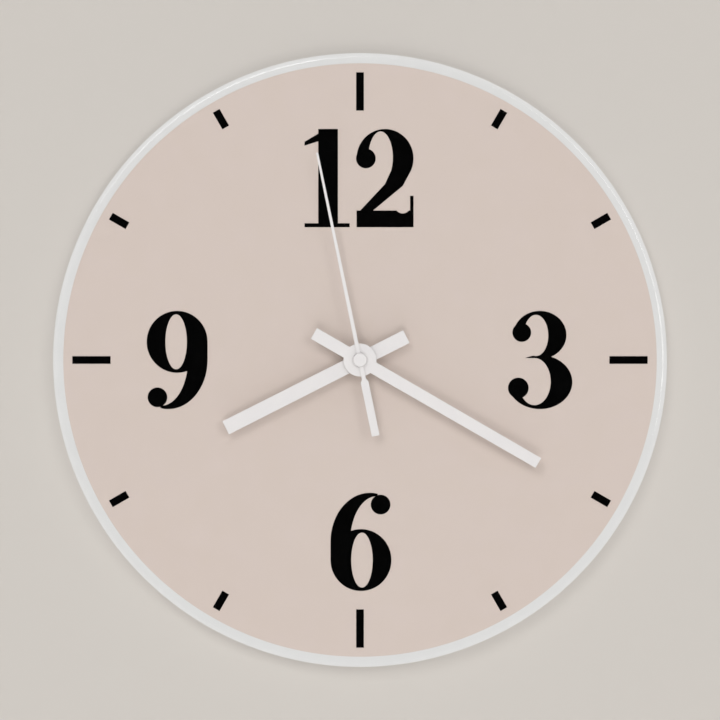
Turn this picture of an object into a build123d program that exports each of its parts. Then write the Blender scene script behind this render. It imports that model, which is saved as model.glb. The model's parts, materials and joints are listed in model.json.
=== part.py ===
from build123d import *
import math
import os

# A round glass wall clock: a printed glass dial, three hands and a battery quartz movement with its hanger.
# It is drawn lying on its back, x to three o'clock, y to twelve o'clock and z from the wall to the viewer,
# and each piece is stood up for export, so that the dial faces -Y and twelve o'clock points to +Z.
# The origin is on the arbor axis, in the plane of the wall.

# Dial glass
glass_diameter = 300
glass_thickness = 4
front_edge_round_share = 0.55
back_edge_round_share = 0.35
arbor_hole_clearance = 1.1

# Print on the back of the glass, from the glass to the wall: black ink, colour print, white film
glue_gap = 0.05
ink_thickness = 0.1
print_thickness = 0.1
print_margin = 5
film_thickness = 0.2
film_margin = 1.45

# Index marks
mark_count = 12
marks_per_quarter = 3
mark_edge_gap = 9.4
mark_width = 3.75
long_mark_length = 18.7
short_mark_length = 9.35

# Numerals, their outlines as shares of the numeral height
numeral_height = 48
numeral_mark_gap = 9
one_width_share = 0.46
two_width_share = 0.62
three_width_share = 0.62
six_width_share = 0.64
numeral_space_share = 0.05
one_stem_shares = (0.14, 0.34, 0, 1)
one_foot_shares = (0, 0.46, 0, 0.04)
one_flag_shares = ((0.34, 1), (0.22, 1), (0, 0.87), (0, 0.83), (0.14, 0.875), (0.34, 0.9))
two_outer_shares = (0.31, 0.7, 0.29, 0.3)
two_inner_shares = (0.265, 0.71, 0.125, 0.265)
two_gap_shares = (0, 0.265, 0.35, 0.72)
two_under_shares = (0, 0.62, 0.35, 0.58)
two_ball_shares = (0.115, 0.7, 0.1, 0.1)
two_sweep_shares = (
    (0.374, 0.58),
    (0.31, 0.44),
    (0.02, 0.13),
    (0.02, 0.05),
    (0.14, 0.13),
    (0.49, 0.42),
    (0.576, 0.58),
)
two_base_shares = (0.02, 0.6, 0, 0.17)
two_serif_shares = (0.565, 0.6, 0, 0.32)
two_dip_shares = (0.49, 0.245, 0.09, 0.105)
three_upper_outer_shares = (0.29, 0.755, 0.27, 0.245)
three_upper_inner_shares = (0.25, 0.75, 0.125, 0.21)
three_lower_outer_shares = (0.29, 0.275, 0.33, 0.275)
three_lower_inner_shares = (0.235, 0.28, 0.165, 0.24)
three_upper_gap_shares = (0, 0.25, 0.52, 0.78)
three_lower_gap_shares = (-0.05, 0.235, 0.225, 0.52)
three_upper_ball_shares = (0.105, 0.78, 0.095, 0.095)
three_lower_ball_shares = (0.07, 0.215, 0.105, 0.105)
six_bowl_shares = (0.33, 0.315, 0.31, 0.315)
six_eye_shares = (0.34, 0.315, 0.11, 0.28)
six_back_outer_shares = (0.42, 0.5, 0.4, 0.5)
six_back_inner_shares = (0.49, 0.5, 0.27, 0.465)
six_back_keep_shares = (0, 0.5, 0.3, 1)
six_side_shares = (0.02, 0.2, 0.315, 0.5)
six_ball_shares = (0.53, 0.88, 0.1, 0.1)

# Hands, with their places in degrees clockwise from twelve
hub_diameter = 16.1
hand_gap = 0.5
hand_sheet = 0.5
hour_hand_angle = 243.2
hour_hand_length = 73.3
hour_hand_tail = 25.3
hour_root_width = 6.95
hour_tip_width = 7.15
hour_tail_width = 6.95
minute_hand_angle = 120
minute_hand_length = 100.2
minute_hand_tail = 25.9
minute_tip_width = 5.5
minute_tail_width = 6.05
seconds_hand_angle = 348.3
seconds_hand_length = 103
seconds_root_width = 1.95
seconds_tip_width = 1.05
seconds_neck_width = 2.1
seconds_neck_length = 9.6
seconds_shoulder = 1.4
seconds_bar_width = 3.85
seconds_hand_tail = 37.7
seconds_sheet = 0.4
bush_collar_wall = 1.2
bush_spigot_wall = 0.6
bush_collar_height = 1.6
cap_diameter = 6.8
cap_height = 1.3
cap_round_share = 0.45
cap_tube_wall = 0.7
cap_roof_share = 0.6

# Arbors, one inside the other, and the fits
seconds_arbor_diameter = 1
minute_tube_wall = 1.04
hour_pipe_wall = 0.84
bushing_wall = 1.28
running_clearance = 0.08
press_clearance = 0.02
overrun = 1

# Fastening of the dial
bushing_flange_width = 2
bushing_flange_height = 0.8
bushing_proud = 0.4
nut_sides = 6
nut_wall = 1.9
nut_height = 2
washer_margin = 0.4
washer_thickness = 0.6
gasket_diameter = 30
gasket_thickness = 1

# Hanger
hanger_thickness = 1
hanger_width = 20
hanger_bend_radius = 1
hanger_case_gap = 0.4
hanger_wall_gap = 1.2
hanger_weld_land = 0.5
keyhole_plate_corner_radius = 6
keyhole_entry_diameter = 8.5
keyhole_slot_width = 4.4
keyhole_rise = 7
keyhole_edge = 3.5

# Gear teeth
pressure_angle = 20
addendum_share = 0.9
dedendum_share = 1.2
pinion_shift_share = 0.4
backlash_share = 0.1
rotor_pinion_teeth = 10
intermediate_wheel_teeth = 60
intermediate_pinion_teeth = 10
seconds_wheel_teeth = 50
seconds_pinion_teeth = 8
third_wheel_teeth = 64
third_pinion_teeth = 8
centre_wheel_teeth = 60
cannon_pinion_teeth = 12
minute_wheel_teeth = 36
minute_pinion_teeth = 10
hour_wheel_teeth = 40

# Places of the arbors, with directions in degrees from three o'clock, counterclockwise
third_arbor_distance = 10.2
third_arbor_direction = 180
motion_arbor_distance = 12
motion_arbor_direction = 0
intermediate_arbor_direction = 90
rotor_distance = 8.75
rotor_direction = 160
arbor_diameter = 1
arbor_wheel_gap = 0.5

# Wheels, stacked from the front wall of the case to the rear
wheel_thickness = 0.8
hour_wheel_thickness = 0.9
layer_gap = 0.3
pinion_overlap = 0.1
wheel_wall_gap = 0.7
stem_diameter = 3
stem_pivot_diameter = 1.6
stem_pivot_length = 1
stem_end_diameter = 2.4

# Setting knob
knob_diameter = 13
knob_thickness = 2.8
knob_recess = 0.3
knob_gap = 0.3
knob_well_gap = 0.7
knob_well_wall = 0.8
knob_flutes = 20
knob_flute_diameter = 1.2
knob_slot_length = 9
knob_slot_width = 1.4
knob_slot_depth = 0.9
knob_bore_share = 0.6

# Movement case
case_wall = 1.2
front_wall = 1.8
bay_wall = 1
divider_wall = 1
case_corner_radius = 3
case_edge_round = 0.8
cover_thickness = 1.2
cover_skin = 0.5
lip_wall = 0.8
lip_height = 2
lip_clearance = 0.1
snap_width = 6
snap_height = 0.9
snap_rise = 0.8
snap_depth = 0.6
snap_spacing = 18
snap_clearance = 0.15
bearing_boss_diameter = 3
bearing_boss_height = 1.6
finger_notch_width = 16
finger_notch_depth = 7
plate_thickness = 1
plate_margin = 1.2
plate_corner_radius = 2
post_diameter = 3.2
post_pin_diameter = 1.6
post_inset = 2.4

# Stepping motor
magnet_diameter = 6
magnet_hub_diameter = 2.4
magnet_air_gap = 0.5
stator_thickness = 1
stator_ring_width = 1.7
stator_bar_width = 4
stator_leg_width = 3.8
core_width = 3
core_thickness = 1
coil_gap = 1.5
bobbin_length = 20.6
bobbin_end_gap = 0.4
bobbin_flange_height = 5.8
bobbin_flange_thickness = 0.8
bobbin_wall = 0.6
winding_margin = 0.3
winding_corner_share = 0.3
coil_wall_gap = 0.3
motor_post_diameter = 3
motor_pin_diameter = 1.4

# Circuit board
board_width = 17
board_height = 12
board_thickness = 1
board_edge_gap = 0.05
board_top_margin = 1.5
chip_diameter = 5
chip_height = 1.2
chip_place_shares = (0.3, 0.5)
crystal_diameter = 2
crystal_length = 6
crystal_place_shares = (0.7, 0.5)

# Battery, one AA cell, and its contacts
battery_diameter = 14.2
battery_body_length = 49.2
battery_end_round = 0.6
battery_clearance = 0.4
battery_recess = 0.4
terminal_diameter = 5.5
terminal_height = 1.2
terminal_washer_diameter = 10
terminal_washer_thickness = 0.3
base_diameter = 11
base_thickness = 0.6
seal_width = 0.8
strip_thickness = 0.3
strip_width = 5
strip_gap = 0.05
dimple_diameter = 4.4
dimple_height = 0.5
leaf_depth = 2.2
leaf_length = 11
run_width = 2.6
run_gap = 0.2
riser_width = 2.6
notch_clearance = 0.5
solder_foot_length = 4

# Radii that follow from these sizes
glass_radius = glass_diameter / 2
hub_radius = hub_diameter / 2
seconds_arbor_radius = seconds_arbor_diameter / 2
minute_bore_radius = seconds_arbor_radius + running_clearance
minute_tube_radius = minute_bore_radius + minute_tube_wall
hour_bore_radius = minute_tube_radius + running_clearance
hour_pipe_radius = hour_bore_radius + hour_pipe_wall
bushing_bore_radius = hour_pipe_radius + running_clearance
bushing_radius = bushing_bore_radius + bushing_wall
arbor_hole_radius = bushing_radius + arbor_hole_clearance
arbor_radius = arbor_diameter / 2
stem_radius = stem_diameter / 2
knob_radius = knob_diameter / 2
knob_well_radius = knob_radius + knob_well_gap
battery_radius = battery_diameter / 2


def polar(distance, direction, start=(0, 0)):
    """Point at a distance and a direction in degrees from a start point."""
    angle = math.radians(direction)
    return (start[0] + distance * math.cos(angle), start[1] + distance * math.sin(angle))


def mesh_module(distance, teeth, mate_teeth):
    """Module of two gears that mesh at this centre distance."""
    return 2 * distance / (teeth + mate_teeth)


def tip_radius(teeth, module, shift_share):
    """Outer radius of a gear."""
    return module * (teeth / 2 + addendum_share + shift_share)


# Gear modules and the places of the arbors
centre_at = (0, 0)
third_at = polar(third_arbor_distance, third_arbor_direction)
motion_at = polar(motion_arbor_distance, motion_arbor_direction)
centre_module = mesh_module(third_arbor_distance, centre_wheel_teeth, third_pinion_teeth)
third_module = mesh_module(third_arbor_distance, third_wheel_teeth, seconds_pinion_teeth)
minute_module = mesh_module(motion_arbor_distance, minute_wheel_teeth, cannon_pinion_teeth)
hour_module = mesh_module(motion_arbor_distance, hour_wheel_teeth, minute_pinion_teeth)
intermediate_module = mesh_module(rotor_distance, intermediate_wheel_teeth, rotor_pinion_teeth)
centre_tip = tip_radius(centre_wheel_teeth, centre_module, -pinion_shift_share)
third_tip = tip_radius(third_wheel_teeth, third_module, -pinion_shift_share)
minute_tip = tip_radius(minute_wheel_teeth, minute_module, -pinion_shift_share)
hour_tip = tip_radius(hour_wheel_teeth, hour_module, -pinion_shift_share)
intermediate_distance = centre_tip + arbor_wheel_gap + arbor_radius
intermediate_at = polar(intermediate_distance, intermediate_arbor_direction)
seconds_module = mesh_module(intermediate_distance, seconds_wheel_teeth, intermediate_pinion_teeth)
rotor_at = polar(rotor_distance, rotor_direction, intermediate_at)

# Depths of the case and its layers, from the wall to the viewer
case_depth = battery_recess + battery_diameter + battery_clearance + bay_wall
bay_floor_z = case_depth - bay_wall
cavity_front_z = case_depth - front_wall
bushing_flange_rear_z = case_depth - (front_wall + bushing_flange_height) / 2
bushing_flange_front_z = bushing_flange_rear_z + bushing_flange_height
hour_wheel_front_z = cavity_front_z - layer_gap
hour_wheel_rear_z = hour_wheel_front_z - hour_wheel_thickness
minute_wheel_front_z = hour_wheel_rear_z - layer_gap
minute_wheel_rear_z = minute_wheel_front_z - wheel_thickness
plate_front_z = minute_wheel_rear_z - layer_gap
plate_rear_z = plate_front_z - plate_thickness
centre_wheel_front_z = plate_rear_z - layer_gap
centre_wheel_rear_z = centre_wheel_front_z - wheel_thickness
third_wheel_front_z = centre_wheel_rear_z - layer_gap
third_wheel_rear_z = third_wheel_front_z - wheel_thickness
seconds_wheel_front_z = third_wheel_rear_z - layer_gap
seconds_wheel_rear_z = seconds_wheel_front_z - wheel_thickness
intermediate_wheel_front_z = seconds_wheel_rear_z - layer_gap
intermediate_wheel_rear_z = intermediate_wheel_front_z - wheel_thickness
boss_front_z = cover_thickness + bearing_boss_height
magnet_rear_z = boss_front_z + layer_gap
magnet_front_z = intermediate_wheel_rear_z - layer_gap
stator_rear_z = (magnet_rear_z + magnet_front_z - stator_thickness) / 2
core_rear_z = stator_rear_z + stator_thickness
core_front_z = core_rear_z + core_thickness
coil_z = (core_rear_z + core_front_z) / 2
knob_front_z = knob_recess + knob_thickness
well_floor_rear_z = knob_front_z + knob_gap
well_floor_front_z = well_floor_rear_z + knob_well_wall

# Depths in front of the case
hanger_front_z = case_depth + hanger_thickness
gasket_front_z = hanger_front_z + gasket_thickness
film_front_z = gasket_front_z + film_thickness
print_front_z = film_front_z + print_thickness
ink_front_z = print_front_z + ink_thickness
glass_back_z = ink_front_z + glue_gap
glass_front_z = glass_back_z + glass_thickness
washer_front_z = glass_front_z + washer_thickness
nut_front_z = washer_front_z + nut_height
bushing_front_z = nut_front_z + bushing_proud
hour_bush_rear_z = bushing_front_z + hand_gap
hour_hand_rear_z = hour_bush_rear_z + bush_collar_height
hour_hand_front_z = hour_hand_rear_z + hand_sheet
minute_bush_rear_z = hour_hand_front_z + hand_gap
minute_hand_rear_z = minute_bush_rear_z + bush_collar_height
minute_hand_front_z = minute_hand_rear_z + hand_sheet
seconds_hand_rear_z = minute_hand_front_z + 2 * hand_gap
seconds_hand_front_z = seconds_hand_rear_z + seconds_sheet
cap_front_z = seconds_hand_front_z + cap_height

# Plan of the case
train_reach = max(hour_tip, third_tip, minute_tip)
divider_face_y = -(train_reach + wheel_wall_gap)
bay_top_y = divider_face_y - divider_wall
battery_y = bay_top_y - battery_clearance - battery_radius
battery_z = battery_recess + battery_radius
bay_bottom_y = battery_y - battery_radius - battery_clearance
case_bottom_y = bay_bottom_y - case_wall
battery_length = battery_body_length + terminal_height
inner_half_width = (leaf_depth + battery_length + dimple_height + strip_thickness + 4 * strip_gap) / 2
case_half_width = inner_half_width + case_wall
battery_left_x = -inner_half_width + 2 * strip_gap + leaf_depth
battery_body_right_x = battery_left_x + battery_body_length
stator_ring_radius = magnet_diameter / 2 + magnet_air_gap + stator_ring_width
coil_y = rotor_at[1] + stator_ring_radius + coil_gap + bobbin_flange_height / 2
inner_top_y = coil_y + bobbin_flange_height / 2 + coil_wall_gap + lip_wall + lip_clearance
case_top_y = inner_top_y + case_wall
core_post_reach = (bobbin_length + stator_leg_width) / 2 + bobbin_end_gap
core_post_xs = (rotor_at[0] - core_post_reach, rotor_at[0] + core_post_reach)
plate_half_width = inner_half_width - plate_margin
plate_bottom_y = divider_face_y + wheel_wall_gap
plate_top_y = inner_top_y - plate_margin
strip_outer_x = inner_half_width - strip_gap
strip_inner_x = strip_outer_x - strip_thickness
board_right_x = strip_inner_x - board_edge_gap
board_left_x = board_right_x - board_width
board_top_y = inner_top_y - board_top_margin
board_bottom_y = board_top_y - board_height
lip_half_width = inner_half_width - lip_clearance
snap_middle_y = (divider_face_y + inner_top_y) / 2
snap_ys = (snap_middle_y - snap_spacing / 2, snap_middle_y + snap_spacing / 2)
snap_rear_z = cover_thickness + snap_rise
post_xs = (-plate_half_width + post_inset, plate_half_width - post_inset)
post_ys = (plate_bottom_y + post_inset, plate_top_y - post_inset)

# Plan of the hanger
hanger_leg_low_y = case_top_y + hanger_case_gap
hanger_leg_high_y = hanger_leg_low_y + hanger_thickness
hanger_tab_front_z = hanger_wall_gap + hanger_thickness
hanger_bend_end_y = hanger_leg_high_y + hanger_bend_radius
hanger_weld_y = hanger_bend_end_y + hanger_weld_land
keyhole_y = hanger_bend_end_y + keyhole_edge + keyhole_entry_diameter / 2
keyhole_plate_top_y = keyhole_y + keyhole_rise + keyhole_slot_width / 2 + keyhole_edge

# Plan of the dial
mark_outer_radius = glass_radius - mark_edge_gap
numeral_ring_radius = mark_outer_radius - long_mark_length - numeral_mark_gap - numeral_height / 2


def slab(sketch, low_z, high_z):
    """Flat outline thickened from one depth to another."""
    return extrude(Pos(0, 0, low_z) * sketch, amount=high_z - low_z, dir=(0, 0, 1))


def disc(radius, low_z, high_z, at=(0, 0)):
    """Round bar along z."""
    return slab(Pos(at[0], at[1]) * Circle(radius), low_z, high_z)


def ring(outer_radius, inner_radius, low_z, high_z, at=(0, 0)):
    """Round tube along z."""
    return slab(Pos(at[0], at[1]) * (Circle(outer_radius) - Circle(inner_radius)), low_z, high_z)


def panel(low_x, high_x, low_y, high_y):
    """Flat rectangle from its four sides."""
    middle = Pos((low_x + high_x) / 2, (low_y + high_y) / 2)
    return middle * Rectangle(high_x - low_x, high_y - low_y)


def round_panel(low_x, high_x, low_y, high_y, radius):
    """Flat rectangle with round corners from its four sides."""
    middle = Pos((low_x + high_x) / 2, (low_y + high_y) / 2)
    return middle * RectangleRounded(high_x - low_x, high_y - low_y, radius)


def block(low_x, high_x, low_y, high_y, low_z, high_z):
    """Box from its six sides."""
    return slab(panel(low_x, high_x, low_y, high_y), low_z, high_z)


def bar_along_x(radius, low_x, high_x, y, z):
    """Round bar along x."""
    return Pos((low_x + high_x) / 2, y, z) * Rot(Y=90) * Cylinder(radius, high_x - low_x)


def clockwise(shape, angle):
    """Shape turned clockwise about the arbor, as seen by the viewer."""
    return Rot(Z=-angle) * shape


def involute(angle):
    """Involute function of a pressure angle in radians."""
    return math.tan(angle) - angle


def gear_outline(teeth, module, shift_share):
    """Gear with involute flanks, drawn with a tooth pointing along x."""
    pitch_radius = module * teeth / 2
    pressure = math.radians(pressure_angle)
    base_radius = pitch_radius * math.cos(pressure)
    outer_radius = tip_radius(teeth, module, shift_share)
    root_radius = module * (teeth / 2 - dedendum_share + shift_share)
    tooth_angle = (math.pi / 2 + 2 * shift_share * math.tan(pressure) - backlash_share) / teeth

    def half_tooth(radius):
        local_pressure = math.acos(base_radius / max(radius, base_radius))
        return tooth_angle + involute(pressure) - involute(local_pressure)

    flank_start = max(root_radius, base_radius)
    flank_radii = [root_radius, (flank_start + outer_radius) / 2, outer_radius]
    points = []
    for tooth in range(teeth):
        middle = 2 * math.pi * tooth / teeth
        rising = [(radius, middle - half_tooth(radius)) for radius in flank_radii]
        falling = [(radius, middle + half_tooth(radius)) for radius in reversed(flank_radii)]
        for radius, angle in rising + falling:
            points.append((radius * math.cos(angle), radius * math.sin(angle)))
    return Polygon(*points)


def gear(teeth, module, shift_share, at, mate_at, low_z, high_z, gap_to_mate=False):
    """Gear on an arbor, turned so that a tooth, or the gap between two, points at its mate's arbor."""
    aim = math.degrees(math.atan2(mate_at[1] - at[1], mate_at[0] - at[0]))
    if gap_to_mate:
        aim += 180 / teeth
    outline = Pos(at[0], at[1]) * Rot(Z=aim) * gear_outline(teeth, module, shift_share)
    return slab(outline, low_z, high_z)


def wheel(teeth, module, at, mate_at, low_z, high_z):
    """Large gear of a pair, with a tooth pointing at the pinion."""
    return gear(teeth, module, -pinion_shift_share, at, mate_at, low_z, high_z)


def pinion(teeth, module, at, mate_at, low_z, high_z):
    """Small gear of a pair, with a gap pointing at the wheel."""
    return gear(teeth, module, pinion_shift_share, at, mate_at, low_z, high_z, gap_to_mate=True)


# Numerals


def oval(shares):
    """Oval from its centre and radii, as shares of the numeral height."""
    middle_x, middle_y, radius_x, radius_y = [share * numeral_height for share in shares]
    return Pos(middle_x, middle_y) * Ellipse(radius_x, radius_y)


def patch(shares):
    """Rectangle from its sides, as shares of the numeral height."""
    return panel(*[share * numeral_height for share in shares])


def facet(shares):
    """Polygon from its corners, as shares of the numeral height."""
    return Polygon(*[(x_share * numeral_height, y_share * numeral_height) for x_share, y_share in shares])


def numeral_one():
    """Thick stem with a thin foot and a flag."""
    return patch(one_stem_shares) + patch(one_foot_shares) + facet(one_flag_shares)


def numeral_two():
    """Open bowl with a ball, a sweep to the lower left and a heavy base with a thin serif."""
    bowl = oval(two_outer_shares) - oval(two_inner_shares) - patch(two_gap_shares) - patch(two_under_shares)
    base = patch(two_base_shares) + patch(two_serif_shares) - oval(two_dip_shares)
    return bowl + oval(two_ball_shares) + facet(two_sweep_shares) + base + patch(two_serif_shares)


def numeral_three():
    """Two open bowls, each with a ball."""
    upper = oval(three_upper_outer_shares) - oval(three_upper_inner_shares) - patch(three_upper_gap_shares)
    lower = oval(three_lower_outer_shares) - oval(three_lower_inner_shares) - patch(three_lower_gap_shares)
    upper = upper - oval(three_lower_inner_shares)
    lower = lower - oval(three_upper_inner_shares)
    return upper + lower + oval(three_upper_ball_shares) + oval(three_lower_ball_shares)


def numeral_six():
    """Closed bowl under a curved back that ends in a ball."""
    crescent = oval(six_back_outer_shares) - oval(six_back_inner_shares)
    back = crescent & patch(six_back_keep_shares)
    body = oval(six_bowl_shares) + back + patch(six_side_shares)
    return body - oval(six_eye_shares) + oval(six_ball_shares)


def centred(glyph, width_share):
    """Glyph with its middle moved to the origin."""
    return Pos(-width_share * numeral_height / 2, -numeral_height / 2) * glyph


def dial_numerals():
    """12, 3, 6 and 9 in black ink."""
    twelve_width_share = one_width_share + numeral_space_share + two_width_share
    two_offset = (one_width_share + numeral_space_share) * numeral_height
    twelve = centred(numeral_one(), twelve_width_share)
    twelve += centred(Pos(two_offset) * numeral_two(), twelve_width_share)
    three = centred(numeral_three(), three_width_share)
    six = centred(numeral_six(), six_width_share)
    outlines = Pos(0, numeral_ring_radius) * twelve
    outlines += Pos(numeral_ring_radius, 0) * three
    outlines += Pos(0, -numeral_ring_radius) * six
    outlines += Pos(-numeral_ring_radius, 0) * Rot(Z=180) * six
    return slab(outlines, print_front_z, ink_front_z)


# Dial


def glass_dial():
    """Clear disc with a polished round edge and a hole for the movement."""
    blank = disc(glass_radius, glass_back_z, glass_front_z)
    blank = fillet(blank.edges().group_by(Axis.Z)[-1], glass_thickness * front_edge_round_share)
    blank = fillet(blank.edges().group_by(Axis.Z)[0], glass_thickness * back_edge_round_share)
    return blank - disc(arbor_hole_radius, glass_back_z - overrun, glass_front_z + overrun)


def dial_marks():
    """Twelve index marks in black ink, long at the quarters."""
    marks = []
    for hour in range(mark_count):
        length = short_mark_length if hour % marks_per_quarter else long_mark_length
        mark = Pos(0, mark_outer_radius - length / 2) * Rectangle(mark_width, length)
        marks.append(clockwise(slab(mark, print_front_z, ink_front_z), hour * 360 / mark_count))
    return Compound(children=marks)


def dial_print():
    """Colour print, which leaves a bare rim."""
    return ring(glass_radius - print_margin, arbor_hole_radius, film_front_z, print_front_z)


def backing_film():
    """White film over the flat of the back."""
    return ring(glass_radius - film_margin, arbor_hole_radius, gasket_front_z, film_front_z)


# Fastening of the dial


def threaded_bushing():
    """Brass bushing in the front of the case, with a flange held in the moulding."""
    flange = disc(bushing_radius + bushing_flange_width, bushing_flange_rear_z, bushing_flange_front_z)
    solid = flange + disc(bushing_radius, cavity_front_z, bushing_front_z)
    return solid - disc(bushing_bore_radius, cavity_front_z - overrun, bushing_front_z + overrun)


def bushing_seat():
    """Space that the bushing fills in the front wall."""
    flange_radius = bushing_radius + bushing_flange_width + press_clearance
    rear_z = bushing_flange_rear_z - press_clearance
    front_z = bushing_flange_front_z + press_clearance
    shank = disc(bushing_radius + press_clearance, cavity_front_z - overrun, case_depth + overrun)
    return shank + disc(flange_radius, rear_z, front_z)


def dial_nut():
    """Hexagon nut on the bushing."""
    hexagon = RegularPolygon(bushing_radius + nut_wall, nut_sides, major_radius=False)
    return slab(hexagon - Circle(bushing_radius + press_clearance), washer_front_z, nut_front_z)


def dial_washer():
    """Washer between the nut and the glass, a little wider than the nut's corners."""
    corner_radius = (bushing_radius + nut_wall) / math.cos(math.pi / nut_sides)
    hole_radius = bushing_radius + running_clearance
    return ring(corner_radius + washer_margin, hole_radius, glass_front_z, washer_front_z)


def rubber_gasket():
    """Soft ring between the hanger and the dial."""
    return ring(gasket_diameter / 2, bushing_radius + running_clearance, hanger_front_z, gasket_front_z)


def hanger():
    """Steel strap clamped on the front of the case and bent round its top, for the keyhole plate."""
    half_width = hanger_width / 2
    profile = Polygon(
        (0, hanger_front_z),
        (0, case_depth),
        (hanger_leg_low_y, case_depth),
        (hanger_leg_low_y, hanger_wall_gap),
        (hanger_weld_y, hanger_wall_gap),
        (hanger_weld_y, hanger_tab_front_z),
        (hanger_leg_high_y, hanger_tab_front_z),
        (hanger_leg_high_y, hanger_front_z),
    )
    outer_corners = [(hanger_leg_high_y, hanger_front_z), (hanger_leg_low_y, hanger_wall_gap)]
    inner_corners = [(hanger_leg_low_y, case_depth), (hanger_leg_high_y, hanger_tab_front_z)]
    outer_radius = hanger_bend_radius + hanger_thickness
    profile = fillet([nearest_vertex(profile, corner) for corner in outer_corners], outer_radius)
    profile = fillet([nearest_vertex(profile, corner) for corner in inner_corners], hanger_bend_radius)
    strap = Pos(-half_width) * Rot(X=90) * Rot(Y=90) * extrude(profile, amount=hanger_width)
    strap += disc(half_width, case_depth, hanger_front_z)
    return strap - disc(bushing_radius + running_clearance, case_depth - overrun, hanger_front_z + overrun)


def nearest_vertex(sketch, corner):
    """Vertex of a sketch that lies closest to a point."""
    return min(sketch.vertices(), key=lambda vertex: math.dist((vertex.X, vertex.Y), corner))


def keyhole_plate():
    """Flat plate welded to the end of the strap near the wall, with the keyhole."""
    half_width = hanger_width / 2
    outline = panel(-half_width, half_width, hanger_weld_y, keyhole_plate_top_y)
    outline = fillet(outline.vertices().group_by(Axis.Y)[-1], keyhole_plate_corner_radius)
    return slab(outline, hanger_wall_gap, hanger_tab_front_z) - keyhole()


def keyhole():
    """Round entry with a narrow slot above it, which drops over the wall screw."""
    half_slot = keyhole_slot_width / 2
    outline = Pos(0, keyhole_y) * Circle(keyhole_entry_diameter / 2)
    outline += panel(-half_slot, half_slot, keyhole_y, keyhole_y + keyhole_rise)
    outline += Pos(0, keyhole_y + keyhole_rise) * Circle(half_slot)
    return slab(outline, hanger_wall_gap - overrun, hanger_tab_front_z + overrun)


# Hands


def hand_sheet_metal(corners, hole_radius, rear_z, angle):
    """Flat hand of a given half outline from tail to tip, with a round hub."""
    right = list(corners)
    left = [(-x, y) for x, y in reversed(corners)]
    outline = Polygon(*right, *left) + Circle(hub_radius)
    outline -= Circle(hole_radius)
    return clockwise(slab(outline, rear_z, rear_z + hand_sheet), angle)


def hour_hand():
    """Hour hand, which widens to its square tip."""
    corners = (
        (hour_tail_width / 2, -hour_hand_tail),
        (hour_root_width / 2, 0),
        (hour_tip_width / 2, hour_hand_length),
    )
    hole_radius = hour_pipe_radius + bush_spigot_wall + press_clearance
    return hand_sheet_metal(corners, hole_radius, hour_hand_rear_z, hour_hand_angle)


def minute_hand():
    """Minute hand, with a square tip."""
    corners = ((minute_tail_width / 2, -minute_hand_tail), (minute_tip_width / 2, minute_hand_length))
    hole_radius = minute_tube_radius + bush_spigot_wall + press_clearance
    return hand_sheet_metal(corners, hole_radius, minute_hand_rear_z, minute_hand_angle)


def hand_bush(pipe_radius, rear_z):
    """Stepped bush that carries a hand on its pipe."""
    spigot_front_z = rear_z + bush_collar_height + hand_sheet
    bush = disc(pipe_radius + bush_collar_wall, rear_z, rear_z + bush_collar_height)
    bush += disc(pipe_radius + bush_spigot_wall, rear_z, spigot_front_z)
    return bush - disc(pipe_radius + press_clearance, rear_z - overrun, spigot_front_z + overrun)


def seconds_hand():
    """Thin tapered needle with a bar for a tail."""
    shoulder_y = -(seconds_neck_length + seconds_shoulder)
    right = [
        (seconds_bar_width / 2, -seconds_hand_tail),
        (seconds_bar_width / 2, shoulder_y),
        (seconds_neck_width / 2, -seconds_neck_length),
        (seconds_neck_width / 2, 0),
        (seconds_root_width / 2, 0),
        (seconds_tip_width / 2, seconds_hand_length),
    ]
    left = [(-x, y) for x, y in reversed(right)]
    outline = Polygon(*right, *left) + Circle(cap_diameter / 2)
    outline -= Circle(seconds_arbor_radius + cap_tube_wall + press_clearance)
    return clockwise(slab(outline, seconds_hand_rear_z, seconds_hand_front_z), seconds_hand_angle)


def cap_roof_z():
    """Depth at which the bore of the seconds cap ends."""
    return seconds_hand_front_z + cap_height * (1 - cap_roof_share)


def seconds_hand_cap():
    """Rounded cap whose tube grips the seconds arbor."""
    head = disc(cap_diameter / 2, seconds_hand_front_z, cap_front_z)
    head = fillet(head.edges().group_by(Axis.Z)[-1], cap_height * cap_round_share)
    tube_rear_z = minute_hand_front_z + hand_gap
    tube = disc(seconds_arbor_radius + cap_tube_wall, tube_rear_z, seconds_hand_front_z)
    return head + tube - disc(seconds_arbor_radius + press_clearance, tube_rear_z - overrun, cap_roof_z())


# Motion work and wheel train


def hour_wheel():
    """Hour wheel with the pipe that carries the hour hand."""
    toothed = wheel(
        hour_wheel_teeth, hour_module, centre_at, motion_at, hour_wheel_rear_z, hour_wheel_front_z
    )
    solid = toothed + disc(hour_pipe_radius, hour_wheel_rear_z, hour_hand_front_z)
    return solid - disc(hour_bore_radius, hour_wheel_rear_z - overrun, hour_hand_front_z + overrun)


def cannon_pinion():
    """Minute tube with the pinion that drives the minute wheel."""
    toothed = pinion(
        cannon_pinion_teeth,
        minute_module,
        centre_at,
        motion_at,
        minute_wheel_rear_z - pinion_overlap,
        minute_wheel_front_z + pinion_overlap,
    )
    solid = toothed + disc(minute_tube_radius, centre_wheel_rear_z, minute_hand_front_z)
    return solid - disc(minute_bore_radius, centre_wheel_rear_z - overrun, minute_hand_front_z + overrun)


def centre_wheel():
    """Wheel that turns once an hour, gripping the minute tube."""
    toothed = wheel(
        centre_wheel_teeth, centre_module, centre_at, third_at, centre_wheel_rear_z, centre_wheel_front_z
    )
    grip_radius = minute_tube_radius + press_clearance
    return toothed - disc(grip_radius, centre_wheel_rear_z - overrun, centre_wheel_front_z + overrun)


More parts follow.
